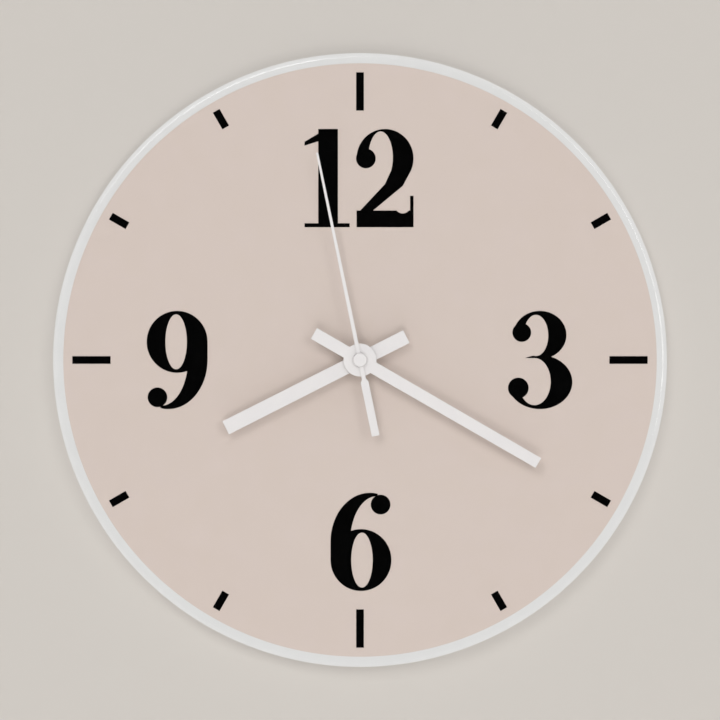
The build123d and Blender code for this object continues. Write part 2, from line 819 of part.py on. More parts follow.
def minute_wheel():
    """Minute wheel, its pinion for the hour wheel and the stem that the knob turns."""
    toothed = wheel(
        minute_wheel_teeth, minute_module, motion_at, centre_at, minute_wheel_rear_z, minute_wheel_front_z
    )
    toothed += pinion(
        minute_pinion_teeth,
        hour_module,
        motion_at,
        centre_at,
        minute_wheel_front_z,
        hour_wheel_front_z + pinion_overlap,
    )
    pivot_front_z = hour_wheel_front_z + stem_pivot_length
    pivot = disc(stem_pivot_diameter / 2, hour_wheel_front_z, pivot_front_z, motion_at)
    stem = disc(stem_radius, well_floor_rear_z, minute_wheel_front_z, motion_at)
    end = disc(stem_end_diameter / 2, knob_bore_rear_z(), well_floor_rear_z, motion_at)
    return toothed + pivot + stem + end


def knob_bore_rear_z():
    """Depth at which the bore of the knob ends."""
    return knob_front_z - knob_thickness * knob_bore_share


def setting_knob():
    """Fluted knob with a slot across its face, sunk into the rear cover."""
    knob = disc(knob_radius, knob_recess, knob_front_z, motion_at)
    for flute in range(knob_flutes):
        flute_at = polar(knob_radius, flute * 360 / knob_flutes, motion_at)
        knob -= disc(knob_flute_diameter / 2, knob_recess - overrun, knob_front_z + overrun, flute_at)
    slot = Pos(*motion_at) * SlotOverall(knob_slot_length, knob_slot_width)
    knob -= slab(slot, knob_recess - overrun, knob_recess + knob_slot_depth)
    bore_radius = stem_end_diameter / 2 + press_clearance
    return knob - disc(bore_radius, knob_bore_rear_z(), knob_front_z + overrun, motion_at)


def seconds_wheel():
    """Seconds wheel and its pinion, gripping the seconds arbor."""
    toothed = wheel(
        seconds_wheel_teeth,
        seconds_module,
        centre_at,
        intermediate_at,
        seconds_wheel_rear_z,
        seconds_wheel_front_z,
    )
    pinion_front_z = third_wheel_front_z + pinion_overlap
    toothed += pinion(
        seconds_pinion_teeth, third_module, centre_at, third_at, seconds_wheel_front_z, pinion_front_z
    )
    grip_radius = seconds_arbor_radius + press_clearance
    return toothed - disc(grip_radius, seconds_wheel_rear_z - overrun, pinion_front_z + overrun)


def seconds_arbor():
    """Steel wire from its bearing in the rear cover to the seconds hand."""
    return disc(seconds_arbor_radius, cover_skin + running_clearance, cap_roof_z() - running_clearance)


def third_wheel():
    """Third wheel and the pinion that drives the centre wheel."""
    pinion_front_z = centre_wheel_front_z + pinion_overlap
    toothed = wheel(
        third_wheel_teeth, third_module, third_at, centre_at, third_wheel_rear_z, third_wheel_front_z
    )
    toothed += pinion(
        third_pinion_teeth, centre_module, third_at, centre_at, third_wheel_front_z, pinion_front_z
    )
    grip_radius = arbor_radius + press_clearance
    return toothed - disc(grip_radius, third_wheel_rear_z - overrun, pinion_front_z + overrun, third_at)


def intermediate_wheel():
    """Wheel that the rotor drives, and its pinion for the seconds wheel."""
    pinion_front_z = seconds_wheel_front_z + pinion_overlap
    toothed = wheel(
        intermediate_wheel_teeth,
        intermediate_module,
        intermediate_at,
        rotor_at,
        intermediate_wheel_rear_z,
        intermediate_wheel_front_z,
    )
    toothed += pinion(
        intermediate_pinion_teeth,
        seconds_module,
        intermediate_at,
        centre_at,
        intermediate_wheel_front_z,
        pinion_front_z,
    )
    grip_radius = arbor_radius + press_clearance
    grip = disc(grip_radius, intermediate_wheel_rear_z - overrun, pinion_front_z + overrun, intermediate_at)
    return toothed - grip


def train_arbor(at):
    """Steel arbor between the train plate and the rear cover."""
    return disc(arbor_radius, cover_skin + running_clearance, plate_front_z, at)


def rotor_pinion():
    """Rotor pinion with its arbor and the hub for the magnet."""
    pinion_front_z = intermediate_wheel_front_z + pinion_overlap
    toothed = pinion(
        rotor_pinion_teeth, intermediate_module, rotor_at, intermediate_at, magnet_front_z, pinion_front_z
    )
    hub = disc(magnet_hub_diameter / 2, magnet_rear_z, magnet_front_z, rotor_at)
    return toothed + hub + train_arbor(rotor_at)


def rotor_magnet():
    """Ring magnet on the rotor."""
    grip_radius = magnet_hub_diameter / 2 + press_clearance
    return ring(magnet_diameter / 2, grip_radius, magnet_rear_z, magnet_front_z, rotor_at)


# Stepping motor


def stator():
    """Soft iron plate round the magnet, with a leg up to each end of the coil core."""
    half_leg = stator_leg_width / 2
    half_bar = stator_bar_width / 2
    top_y = coil_y + core_width / 2
    low_x = core_post_xs[0] - half_leg
    high_x = core_post_xs[1] + half_leg
    outline = panel(low_x, high_x, rotor_at[1] - half_bar, rotor_at[1] + half_bar)
    for post_x in core_post_xs:
        outline += panel(post_x - half_leg, post_x + half_leg, rotor_at[1] - half_bar, top_y)
        outline -= Pos(post_x, coil_y) * Circle(motor_pin_diameter / 2 + press_clearance)
    outline += Pos(*rotor_at) * Circle(stator_ring_radius)
    outline -= Pos(*rotor_at) * Circle(magnet_diameter / 2 + magnet_air_gap)
    return slab(outline, stator_rear_z, core_rear_z)


def coil_core():
    """Flat iron strip through the coil, lying on the stator's legs."""
    half_core = core_width / 2
    low_x = core_post_xs[0] - stator_leg_width / 2
    high_x = core_post_xs[1] + stator_leg_width / 2
    outline = panel(low_x, high_x, coil_y - half_core, coil_y + half_core)
    for post_x in core_post_xs:
        outline -= Pos(post_x, coil_y) * Circle(motor_pin_diameter / 2 + press_clearance)
    return slab(outline, core_rear_z, core_front_z)


def along_coil(width, height, length, middle_x, corner_radius=0):
    """Bar of a width across the coil and a height in depth, lying along the coil core."""
    face = Rectangle(height, width)
    if corner_radius:
        face = RectangleRounded(height, width, corner_radius)
    return Pos(middle_x, coil_y, coil_z) * Rot(Y=90) * extrude(face, amount=length / 2, both=True)


def coil_bobbin():
    """Plastic spool on the coil core."""
    tube_width = core_width + 2 * bobbin_wall
    tube_height = core_thickness + 2 * bobbin_wall
    flange_reach = (bobbin_length - bobbin_flange_thickness) / 2
    solid = along_coil(tube_width, tube_height, bobbin_length, rotor_at[0])
    for side in (-1, 1):
        flange_x = rotor_at[0] + side * flange_reach
        solid += along_coil(bobbin_flange_height, bobbin_flange_height, bobbin_flange_thickness, flange_x)
    slot_width = core_width + 2 * press_clearance
    slot_height = core_thickness + 2 * press_clearance
    return solid - along_coil(slot_width, slot_height, bobbin_length + overrun, rotor_at[0])


def coil_winding():
    """Copper winding on the spool."""
    winding_length = bobbin_length - 2 * (bobbin_flange_thickness + press_clearance)
    size = bobbin_flange_height - 2 * winding_margin
    hole_width = core_width + 2 * (bobbin_wall + press_clearance)
    hole_height = core_thickness + 2 * (bobbin_wall + press_clearance)
    solid = along_coil(size, size, winding_length, rotor_at[0], size * winding_corner_share)
    return solid - along_coil(hole_width, hole_height, winding_length + overrun, rotor_at[0])


# Case


def movement_case():
    """Moulded case with a space for the train, a battery bay open to the rear and posts for a plate."""
    outline = round_panel(-case_half_width, case_half_width, case_bottom_y, case_top_y, case_corner_radius)
    shell = slab(outline, 0, case_depth)
    shell = fillet(shell.edges().group_by(Axis.Z)[-1], case_edge_round)
    shell -= block(
        -case_half_width - overrun,
        case_half_width + overrun,
        bay_top_y,
        case_top_y + overrun,
        -overrun,
        cover_thickness,
    )
    shell -= block(
        -inner_half_width, inner_half_width, divider_face_y, inner_top_y, -overrun, cavity_front_z
    )
    shell -= block(-inner_half_width, inner_half_width, bay_bottom_y, bay_top_y, -overrun, bay_floor_z)
    notch_left_x = strip_inner_x - notch_clearance
    notch_rear_z = battery_z - strip_width / 2 - notch_clearance
    shell -= block(
        notch_left_x,
        inner_half_width,
        bay_top_y - overrun,
        divider_face_y + overrun,
        notch_rear_z,
        cavity_front_z,
    )
    shell -= finger_notch()
    for snap_y in snap_ys:
        shell -= snap_bar(snap_y, case_half_width + overrun, snap_clearance)
    shell -= bushing_seat()
    pivot_radius = stem_pivot_diameter / 2 + running_clearance
    pivot_depth = stem_pivot_length - layer_gap + running_clearance
    shell -= disc(pivot_radius, cavity_front_z - overrun, cavity_front_z + pivot_depth, motion_at)
    for post_x in post_xs:
        for post_y in post_ys:
            shell += disc(post_diameter / 2, plate_front_z, cavity_front_z, (post_x, post_y))
            shell += disc(post_pin_diameter / 2, plate_rear_z, plate_front_z, (post_x, post_y))
    return shell


def snap_bar(middle_y, half_length, margin=0):
    """Bar across the case at a pair of snaps, grown by a margin for the windows that they catch in."""
    half_width = snap_width / 2 + margin
    low_z = snap_rear_z - margin
    high_z = snap_rear_z + snap_height + margin
    return block(-half_length, half_length, middle_y - half_width, middle_y + half_width, low_z, high_z)


def finger_notch():
    """Round-ended cut in the bottom wall, to lift the battery out."""
    half_width = finger_notch_width / 2
    outline = panel(-half_width, half_width, -overrun, finger_notch_depth)
    outline = fillet(outline.vertices().group_by(Axis.Y)[-1], finger_notch_depth / 2)
    cut = Rot(X=90) * extrude(outline, amount=case_wall + 2 * overrun)
    return Pos(0, bay_bottom_y + overrun, 0) * cut


def rear_cover():
    """Cover over the train, with a lip inside the walls, bearings for the arbors and a well for the knob."""
    outline = round_panel(-case_half_width, case_half_width, case_bottom_y, case_top_y, case_corner_radius)
    outline -= panel(
        -case_half_width - overrun, case_half_width + overrun, case_bottom_y - overrun, bay_top_y
    )
    cover = slab(outline, 0, cover_thickness)
    lip_low_y = divider_face_y + lip_clearance
    lip_high_y = inner_top_y - lip_clearance
    room = panel(
        -lip_half_width + lip_wall, lip_half_width - lip_wall, lip_low_y + lip_wall, lip_high_y - lip_wall
    )
    lip = panel(-lip_half_width, lip_half_width, lip_low_y, lip_high_y) - room
    cover += slab(lip, cover_thickness, cover_thickness + lip_height)
    for snap_y in snap_ys:
        snaps = snap_bar(snap_y, lip_half_width + snap_depth)
        cover += snaps - slab(room, cover_thickness, cover_thickness + lip_height)
    for bearing_at in (centre_at, third_at, intermediate_at, rotor_at):
        cover += disc(bearing_boss_diameter / 2, cover_thickness, boss_front_z, bearing_at)
    cover += disc(knob_well_radius + knob_well_wall, cover_thickness, well_floor_front_z, motion_at)
    cover -= disc(knob_well_radius, -overrun, well_floor_rear_z, motion_at)
    cover -= disc(stem_radius + running_clearance, 0, well_floor_front_z + overrun, motion_at)
    for bearing_at in (third_at, intermediate_at, rotor_at):
        cover -= disc(arbor_radius + running_clearance, cover_skin, boss_front_z + overrun, bearing_at)
    return cover - disc(seconds_arbor_radius + running_clearance, cover_skin, boss_front_z + overrun)


def train_plate():
    """Plate on the case's posts, with the front bearings of the train and posts that carry the motor."""
    outline = round_panel(
        -plate_half_width, plate_half_width, plate_bottom_y, plate_top_y, plate_corner_radius
    )
    outline -= Circle(minute_tube_radius + running_clearance)
    outline -= Pos(*motion_at) * Circle(stem_radius + running_clearance)
    for bearing_at in (third_at, intermediate_at, rotor_at):
        outline -= Pos(*bearing_at) * Circle(arbor_radius + running_clearance)
    for post_x in post_xs:
        for post_y in post_ys:
            outline -= Pos(post_x, post_y) * Circle(post_pin_diameter / 2 + press_clearance)
    plate = slab(outline, plate_rear_z, plate_front_z)
    for post_x in core_post_xs:
        plate += disc(motor_post_diameter / 2, core_front_z, plate_rear_z, (post_x, coil_y))
        plate += disc(motor_pin_diameter / 2, stator_rear_z, core_front_z, (post_x, coil_y))
    return plate


# Circuit board


def on_board(place_shares):
    """Point on the circuit board, as shares of its width and height."""
    return (
        board_left_x + place_shares[0] * board_width,
        board_bottom_y + place_shares[1] * board_height,
    )


def circuit_board():
    """Board on the rear of the train plate."""
    board_rear_z = plate_rear_z - board_thickness
    return block(board_left_x, board_right_x, board_bottom_y, board_top_y, board_rear_z, plate_rear_z)


def controller_chip():
    """Chip under a round drop of resin."""
    board_rear_z = plate_rear_z - board_thickness
    return disc(chip_diameter / 2, board_rear_z - chip_height, board_rear_z, on_board(chip_place_shares))


def quartz_crystal():
    """Crystal in a small can lying on the board."""
    middle_x, middle_y = on_board(crystal_place_shares)
    middle_z = plate_rear_z - board_thickness - crystal_diameter / 2
    can = Rot(X=90) * Cylinder(crystal_diameter / 2, crystal_length)
    return Pos(middle_x, middle_y, middle_z) * can


# Battery and contacts


def battery_can():
    """Steel can of the cell, with a rim at each end."""
    can = bar_along_x(battery_radius, battery_left_x, battery_body_right_x, battery_y, battery_z)
    can = fillet(can.edges().filter_by(GeomType.CIRCLE), battery_end_round)
    pocket_radius = base_diameter / 2 + seal_width
    pocket_right_x = battery_left_x + base_thickness
    pocket = bar_along_x(pocket_radius, battery_left_x - overrun, pocket_right_x, battery_y, battery_z)
    washer_left_x = battery_body_right_x - terminal_washer_thickness
    seat = bar_along_x(
        terminal_washer_diameter / 2, washer_left_x, battery_body_right_x + overrun, battery_y, battery_z
    )
    return can - pocket - seat


def battery_base():
    """Flat negative end of the cell."""
    base_right_x = battery_left_x + base_thickness
    return bar_along_x(base_diameter / 2, battery_left_x, base_right_x, battery_y, battery_z)


def battery_seal():
    """Plastic ring between the base and the can."""
    outer_radius = base_diameter / 2 + seal_width - press_clearance
    seal_right_x = battery_left_x + base_thickness
    solid = bar_along_x(outer_radius, battery_left_x, seal_right_x, battery_y, battery_z)
    hole_radius = base_diameter / 2 + press_clearance
    return solid - bar_along_x(
        hole_radius, battery_left_x - overrun, seal_right_x + overrun, battery_y, battery_z
    )


def battery_terminal():
    """Raised positive end of the cell, on its round foot."""
    foot_left_x = battery_body_right_x - terminal_washer_thickness
    foot_radius = terminal_washer_diameter / 2 - press_clearance
    foot = bar_along_x(foot_radius, foot_left_x, battery_body_right_x, battery_y, battery_z)
    tip_x = battery_body_right_x + terminal_height
    return foot + bar_along_x(terminal_diameter / 2, foot_left_x, tip_x, battery_y, battery_z)


def positive_contact():
    """Strip on the right wall with a dimple for the terminal, which runs up to the circuit board."""
    low_z = battery_z - strip_width / 2
    high_z = battery_z + strip_width / 2
    low_y = battery_y - leaf_length / 2
    foot_y = board_bottom_y + solder_foot_length
    strip = block(strip_inner_x, strip_outer_x, low_y, foot_y, low_z, high_z)
    dimple_left_x = strip_inner_x - dimple_height
    return strip + bar_along_x(dimple_diameter / 2, dimple_left_x, strip_inner_x, battery_y, battery_z)


def negative_contact():
    """Leaf spring on the left wall, with a strip past the battery and up to the circuit board."""
    half_leaf = leaf_length / 2
    low_z = battery_z - strip_width / 2
    high_z = battery_z + strip_width / 2
    run_front_z = bay_floor_z - strip_gap
    run_rear_z = run_front_z - strip_thickness
    run_high_y = bay_top_y - run_gap
    run_low_y = run_high_y - run_width
    riser_front_z = cavity_front_z - layer_gap
    riser_rear_z = riser_front_z - riser_width
    foot_low_y = board_top_y - solder_foot_length
    board_rear_z = plate_rear_z - board_thickness
    apex_x = -strip_outer_x + leaf_depth
    base_x = -strip_inner_x
    leaf = Polygon(
        (base_x, battery_y - half_leaf),
        (apex_x, battery_y),
        (base_x, battery_y + half_leaf),
        (base_x, battery_y + half_leaf - strip_thickness),
        (apex_x - strip_thickness, battery_y),
        (base_x, battery_y - half_leaf + strip_thickness),
    )
    contact = slab(leaf, low_z, high_z)
    contact += block(-strip_outer_x, base_x, battery_y - half_leaf, run_high_y, low_z, high_z)
    contact += block(-strip_outer_x, base_x, run_low_y, run_high_y, low_z, run_front_z)
    contact += block(-strip_outer_x, strip_outer_x, run_low_y, run_high_y, run_rear_z, run_front_z)
    contact += block(strip_inner_x, strip_outer_x, run_low_y, run_high_y, riser_rear_z, run_front_z)
    contact += block(strip_inner_x, strip_outer_x, run_low_y, board_top_y, riser_rear_z, riser_front_z)
    return contact + block(
        strip_inner_x, strip_outer_x, foot_low_y, board_top_y, board_rear_z, riser_front_z
    )


pieces = {
    "glass_dial": glass_dial(),
    "dial_marks": dial_marks(),
    "dial_numerals": dial_numerals(),
    "dial_print": dial_print(),
    "backing_film": backing_film(),
    "threaded_bushing": threaded_bushing(),
    "dial_nut": dial_nut(),
    "dial_washer": dial_washer(),
    "rubber_gasket": rubber_gasket(),
    "hanger": hanger(),
    "keyhole_plate": keyhole_plate(),
    "hour_hand": hour_hand(),
    "hour_hand_bush": hand_bush(hour_pipe_radius, hour_bush_rear_z),
    "minute_hand": minute_hand(),
    "minute_hand_bush": hand_bush(minute_tube_radius, minute_bush_rear_z),
    "seconds_hand": seconds_hand(),
    "seconds_hand_cap": seconds_hand_cap(),
    "hour_wheel": hour_wheel(),
    "cannon_pinion": cannon_pinion(),
    "centre_wheel": centre_wheel(),
    "minute_wheel": minute_wheel(),
    "setting_knob": setting_knob(),
    "seconds_wheel": seconds_wheel(),
    "seconds_arbor": seconds_arbor(),
    "third_wheel": third_wheel(),
    "third_arbor": train_arbor(third_at),
    "intermediate_wheel": intermediate_wheel(),
    "intermediate_arbor": train_arbor(intermediate_at),
    "rotor_pinion": rotor_pinion(),
    "rotor_magnet": rotor_magnet(),
    "stator": stator(),
    "coil_core": coil_core(),
    "coil_bobbin": coil_bobbin(),
    "coil_winding": coil_winding(),
    "movement_case": movement_case(),
    "rear_cover": rear_cover(),
    "train_plate": train_plate(),
    "circuit_board": circuit_board(),
    "controller_chip": controller_chip(),
    "quartz_crystal": quartz_crystal(),
    "positive_contact": positive_contact(),
    "negative_contact": negative_contact(),
    "battery_can": battery_can(),
    "battery_base": battery_base(),
    "battery_seal": battery_seal(),
    "battery_terminal": battery_terminal(),
}

os.makedirs("parts", exist_ok=True)
for name, piece in pieces.items():
    export_step(Rot(X=90) * piece, f"parts/{name}.step")

print("motion arbor", motion_at)
print("third arbor", third_at)
print("intermediate arbor", intermediate_at)
print("rotor arbor", rotor_at)
print("keyhole", keyhole_y, (hanger_wall_gap + hanger_tab_front_z) / 2)
print("case depth", case_depth, "front", cap_front_z)
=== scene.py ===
"""Looks of a round glass wall clock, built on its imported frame."""

import json
import logging
import math
from contextlib import contextmanager
from dataclasses import dataclass
from enum import Enum
from typing import Callable, Iterator, Optional, Sequence

import bmesh
import bpy
from mathutils import Matrix, Vector

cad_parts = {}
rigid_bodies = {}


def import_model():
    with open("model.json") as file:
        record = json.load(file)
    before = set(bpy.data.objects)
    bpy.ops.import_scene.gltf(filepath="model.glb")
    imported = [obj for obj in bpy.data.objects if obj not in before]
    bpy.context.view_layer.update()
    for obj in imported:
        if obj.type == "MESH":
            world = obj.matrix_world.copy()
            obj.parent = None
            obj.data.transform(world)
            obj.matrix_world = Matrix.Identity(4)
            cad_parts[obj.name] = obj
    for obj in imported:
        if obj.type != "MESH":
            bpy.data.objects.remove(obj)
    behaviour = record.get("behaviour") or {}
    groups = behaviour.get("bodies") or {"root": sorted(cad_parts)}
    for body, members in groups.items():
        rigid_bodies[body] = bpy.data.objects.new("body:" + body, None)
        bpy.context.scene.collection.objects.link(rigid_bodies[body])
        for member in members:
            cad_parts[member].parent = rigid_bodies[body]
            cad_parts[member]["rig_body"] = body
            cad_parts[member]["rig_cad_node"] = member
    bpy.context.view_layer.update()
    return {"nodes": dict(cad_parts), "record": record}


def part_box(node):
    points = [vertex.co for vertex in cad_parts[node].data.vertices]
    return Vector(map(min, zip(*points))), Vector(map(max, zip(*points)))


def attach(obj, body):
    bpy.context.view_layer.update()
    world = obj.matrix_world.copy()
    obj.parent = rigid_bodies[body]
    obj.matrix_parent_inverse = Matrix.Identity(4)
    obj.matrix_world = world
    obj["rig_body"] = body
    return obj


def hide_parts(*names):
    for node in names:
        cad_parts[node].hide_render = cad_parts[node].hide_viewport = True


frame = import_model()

log = logging.getLogger("glass_clock")

Edge = bmesh.types.BMEdge
Material = bpy.types.Material
Node = bpy.types.Node
NodeTree = bpy.types.NodeTree
Piece = bpy.types.Object
Socket = bpy.types.NodeSocket

Colour = tuple[float, float, float]
Point = tuple[float, float, float]
Span = tuple[float, float]
Dressed = tuple[Piece, str]
RoomTest = Callable[[Vector], bool]

MM = 0.001
UPRIGHT: Point = (math.pi / 2, 0.0, 0.0)

# Mesh work: gaps in metres, angles in radians
COPY_GAP = 2e-6
DOUBLES_GAP = 1e-6
RIM_GAP = 1e-5
REAR_BAND = 0.1 * MM
FLAT_ANGLE = math.radians(0.5)
SMOOTH_ANGLE = math.radians(32.0)
SHARP_ANGLE = math.radians(35.0)
ALONG_SHARE = 0.9
EASE_SEGMENTS = 2
CORNER_SEGMENTS = 5
TURN_SEGMENTS = 128

# Dust, the same on every finish that has some
DUST_SCALE = 25.0
DUST_COLOUR: Colour = (0.5, 0.48, 0.45)


def anywhere(place: Vector) -> bool:
    """Room test that every point passes."""
    return True


def screen(red: int, green: int, blue: int) -> Colour:
    """Linear colour of an 8-bit screen colour.

    Args:
        red: Its red, 0 to 255.
        green: Its green.
        blue: Its blue.

    Returns:
        The linear colour.
    """
    shares = [channel / 255 for channel in (red, green, blue)]
    linear = [s / 12.92 if s <= 0.04045 else ((s + 0.055) / 1.055) ** 2.4 for s in shares]
    return (linear[0], linear[1], linear[2])


class Pattern(Enum):
    """Ways in which a surface varies."""

    MOTTLE = "mottle"
    PEBBLE = "pebble"
    BRUSHED = "brushed"
    TURNED = "turned"
    WOUND = "wound"
    TRACKS = "tracks"


class Cut(Enum):
    """What a cut leaves of a piece."""

    OUTSIDE = "DIFFERENCE"
    INSIDE = "INTERSECT"


class ShaderDesk:
    """A node tree with short calls that add and join its nodes."""

    def __init__(self, tree: NodeTree) -> None:
        """Keep the tree that the nodes go into."""
        self.tree = tree

    def feed(self, node: Node, values: dict) -> None:
        """Give inputs of a node their values.

        Args:
            node: The node.
            values: For the name or number of an input, a value or the socket that feeds it.
        """
        for name, value in values.items():
            if isinstance(value, Socket):
                self.tree.links.new(value, node.inputs[name])
            else:
                node.inputs[name].default_value = value

    def add(self, kind: str, values: Optional[dict] = None, **settings: object) -> Node:
        """Add one node.

        Args:
            kind: Blender's name of the node type.
            values: What feeds its inputs.
            settings: Properties of the node.

        Returns:
            The new node.
        """
        node = self.tree.nodes.new(kind)
        for name, setting in settings.items():
            setattr(node, name, setting)
        self.feed(node, values or {})
        return node

    def math(self, operation: str, *values: object) -> Socket:
        """Add a Math node.

        Args:
            operation: Name of the operation.
            values: Numbers or sockets, in order.

        Returns:
            The node's output.
        """
        return self.add("ShaderNodeMath", dict(enumerate(values)), operation=operation).outputs[0]

    def split(self, vector: Socket) -> tuple[Socket, ...]:
        """Give x, y and z of a vector."""
        return tuple(self.add("ShaderNodeSeparateXYZ", {0: vector}).outputs)

    def stretch(self, vector: Socket, factors: Point) -> Socket:
        """Multiply x, y and z of a vector, each by its own factor."""
        values = {0: vector, 1: factors}
        return self.add("ShaderNodeVectorMath", values, operation="MULTIPLY").outputs[0]

    def blend(self, mask: Socket, first: object, second: object) -> Socket:
        """Mix two colours by a mask.

        Args:
            mask: Share of the second colour.
            first: A colour, or a socket that carries one.
            second: A colour, or a socket that carries one.

        Returns:
            The mixed colour.
        """
        ends = [end if isinstance(end, Socket) else (*end, 1.0) for end in (first, second)]
        # Inputs 6 and 7 and output 2 are the Mix node's colour sockets
        values = {0: mask, 6: ends[0], 7: ends[1]}
        return self.add("ShaderNodeMix", values, data_type="RGBA").outputs[2]

    def ramp(
        self,
        value: Socket,
        given: Span = (0.0, 1.0),
        wanted: Span = (0.0, 1.0),
        interpolation: str = "LINEAR",
    ) -> Socket:
        """Map one range of values to another, held at its ends.

        Args:
            value: The value to map.
            given: Ends of the range that it comes in.
            wanted: Ends of the range that it goes out in.
            interpolation: Blender's name of the way between the ends.

        Returns:
            The mapped value.
        """
        values = {0: value, 1: given[0], 2: given[1], 3: wanted[0], 4: wanted[1]}
        node = self.add("ShaderNodeMapRange", values, interpolation_type=interpolation)
        return node.outputs[0]

    def effect(self, group: NodeTree, vector: Socket, scale: float) -> Node:
        """Place a shared group.

        Args:
            group: The group.
            vector: Coordinates that it reads.
            scale: Its fineness, per metre.

        Returns:
            The group's node.
        """
        return self.add("ShaderNodeGroup", {"Vector": vector, "Scale": scale}, node_tree=group)

    def either(self, share: Socket, first: Node, second: Node) -> Node:
        """Mix two shaders.

        Args:
            share: Share of the second shader.
            first: A shader.
            second: A shader.

        Returns:
            The node that mixes them.
        """
        values = {0: share, 1: first.outputs[0], 2: second.outputs[0]}
        return self.add("ShaderNodeMixShader", values)


def new_material(name: str) -> tuple[Material, ShaderDesk, Node]:
    """Start a material.

    Args:
        name: Name of the material.

    Returns:
        The material, the desk of its nodes and its Principled shader.
    """
    made = bpy.data.materials.new(name)
    made.use_nodes = True
    return made, ShaderDesk(made.node_tree), made.node_tree.nodes["Principled BSDF"]


class Effects:
    """Shader node groups that the finishes share. Each puts out a mask and a height."""

    NOISE_ROUGHNESS = 0.55

    def __init__(self) -> None:
        """Build each group once."""
        self.groups: dict[Pattern, NodeTree] = {
            Pattern.MOTTLE: self._mottle(),
            Pattern.PEBBLE: self._pebble(),
            Pattern.BRUSHED: self._brushed(),
            Pattern.TURNED: self._turned(),
            Pattern.WOUND: self._wound(),
            Pattern.TRACKS: self._tracks(),
        }
        self.dust = self._dust()

    def _open(self, name: str) -> tuple[ShaderDesk, Socket, Socket]:
        """Start a group with the sockets that all the groups have.

        Args:
            name: Name of the group.

        Returns:
            The group's desk, and the sockets of its coordinates and its fineness.
        """
        tree = bpy.data.node_groups.new(name, "ShaderNodeTree")
        for socket, way, kind in (
            ("Vector", "INPUT", "NodeSocketVector"),
            ("Scale", "INPUT", "NodeSocketFloat"),
            ("Mask", "OUTPUT", "NodeSocketFloat"),
            ("Height", "OUTPUT", "NodeSocketFloat"),
        ):
            tree.interface.new_socket(socket, in_out=way, socket_type=kind)
        desk = ShaderDesk(tree)
        start = desk.add("NodeGroupInput")
        return desk, start.outputs["Vector"], start.outputs["Scale"]

    def _noise(self, desk: ShaderDesk, vector: Socket, scale: Socket, detail: float) -> Socket:
        """Add a noise texture.

        Args:
            desk: Desk of the group.
            vector: Coordinates that the noise reads.
            scale: Its fineness.
            detail: How many finer layers it has.

        Returns:
            The noise's value.
        """
        layers = {"Detail": detail, "Roughness": self.NOISE_ROUGHNESS}
        values = {"Vector": vector, "Scale": scale, **layers}
        return desk.add("ShaderNodeTexNoise", values).outputs[0]

    def _weigh(self, desk: ShaderDesk, first: Socket, second: Socket, share: float) -> Socket:
        """Add two masks, the first by its share and the second by the rest."""
        rest = desk.math("MULTIPLY", second, 1.0 - share)
        return desk.math("ADD", desk.math("MULTIPLY", first, share), rest)

    def _close(self, desk: ShaderDesk, mask: Socket, height: Socket) -> NodeTree:
        """End a group with its mask and its height.

        Args:
            desk: Desk of the group.
            mask: The mask.
            height: The height.

        Returns:
            The group.
        """
        desk.add("NodeGroupOutput", {"Mask": mask, "Height": height})
        return desk.tree

    def _mottle(self) -> NodeTree:
        """Broad soft clouds with a fine grain in them, as in ink and paint.

        Returns:
            The group.
        """
        cloud_scale, cloud_share, contrast = 0.05, 0.7, (0.35, 0.65)
        desk, vector, scale = self._open("soft_mottle")
        cloud = self._noise(desk, vector, desk.math("MULTIPLY", scale, cloud_scale), detail=2.0)
        grain = self._noise(desk, vector, scale, detail=3.0)
        both = self._weigh(desk, cloud, grain, cloud_share)
        return self._close(desk, desk.ramp(both, contrast), grain)

    def _pebble(self) -> NodeTree:
        """Small round grains, as a spark-eroded mould leaves on plastic.

        Returns:
            The group.
        """
        cloud_scale, grain_share = 0.02, 0.4
        desk, vector, scale = self._open("moulded_pebble")
        values = {"Vector": vector, "Scale": scale, "Randomness": 1.0}
        cells = desk.add("ShaderNodeTexVoronoi", values, feature="SMOOTH_F1")
        cloud = self._noise(desk, vector, desk.math("MULTIPLY", scale, cloud_scale), detail=3.0)
        grain = desk.math("SUBTRACT", 1.0, cells.outputs["Distance"])
        return self._close(desk, self._weigh(desk, grain, cloud, grain_share), grain)

    def _brushed(self) -> NodeTree:
        """Fine lines along z, with a few deeper ones.

        Returns:
            The group.
        """
        long_lines, cloud_scale, line_share = (1.0, 1.0, 0.02), 0.05, 0.6
        desk, vector, scale = self._open("brushed_lines")
        lines = self._noise(desk, desk.stretch(vector, long_lines), scale, detail=4.0)
        cloud = self._noise(desk, vector, desk.math("MULTIPLY", scale, cloud_scale), detail=2.0)
        return self._close(desk, self._weigh(desk, lines, cloud, line_share), lines)

    def _turned(self) -> NodeTree:
        """Tool marks that run round the y axis.

        Returns:
            The group.
        """
        desk, vector, scale = self._open("turned_rings")
        across, along, upward = desk.split(vector)
        squares = [desk.math("POWER", part, 2.0) for part in (across, upward)]
        radius = desk.math("SQRT", desk.math("ADD", *squares))
        place = desk.add("ShaderNodeCombineXYZ", {0: radius, 1: along})
        rings = self._noise(desk, place.outputs[0], scale, detail=4.0)
        return self._close(desk, rings, rings)

    def _wound(self) -> NodeTree:
        """Turns of fine wire laid side by side along x.

        Returns:
            The group.
        """
        desk, vector, scale = self._open("wound_wire")
        values = {"Vector": vector, "Scale": scale, "Distortion": 0.6, "Detail": 1.0}
        turns = desk.add("ShaderNodeTexWave", values, bands_direction="X").outputs["Fac"]
        return self._close(desk, turns, turns)

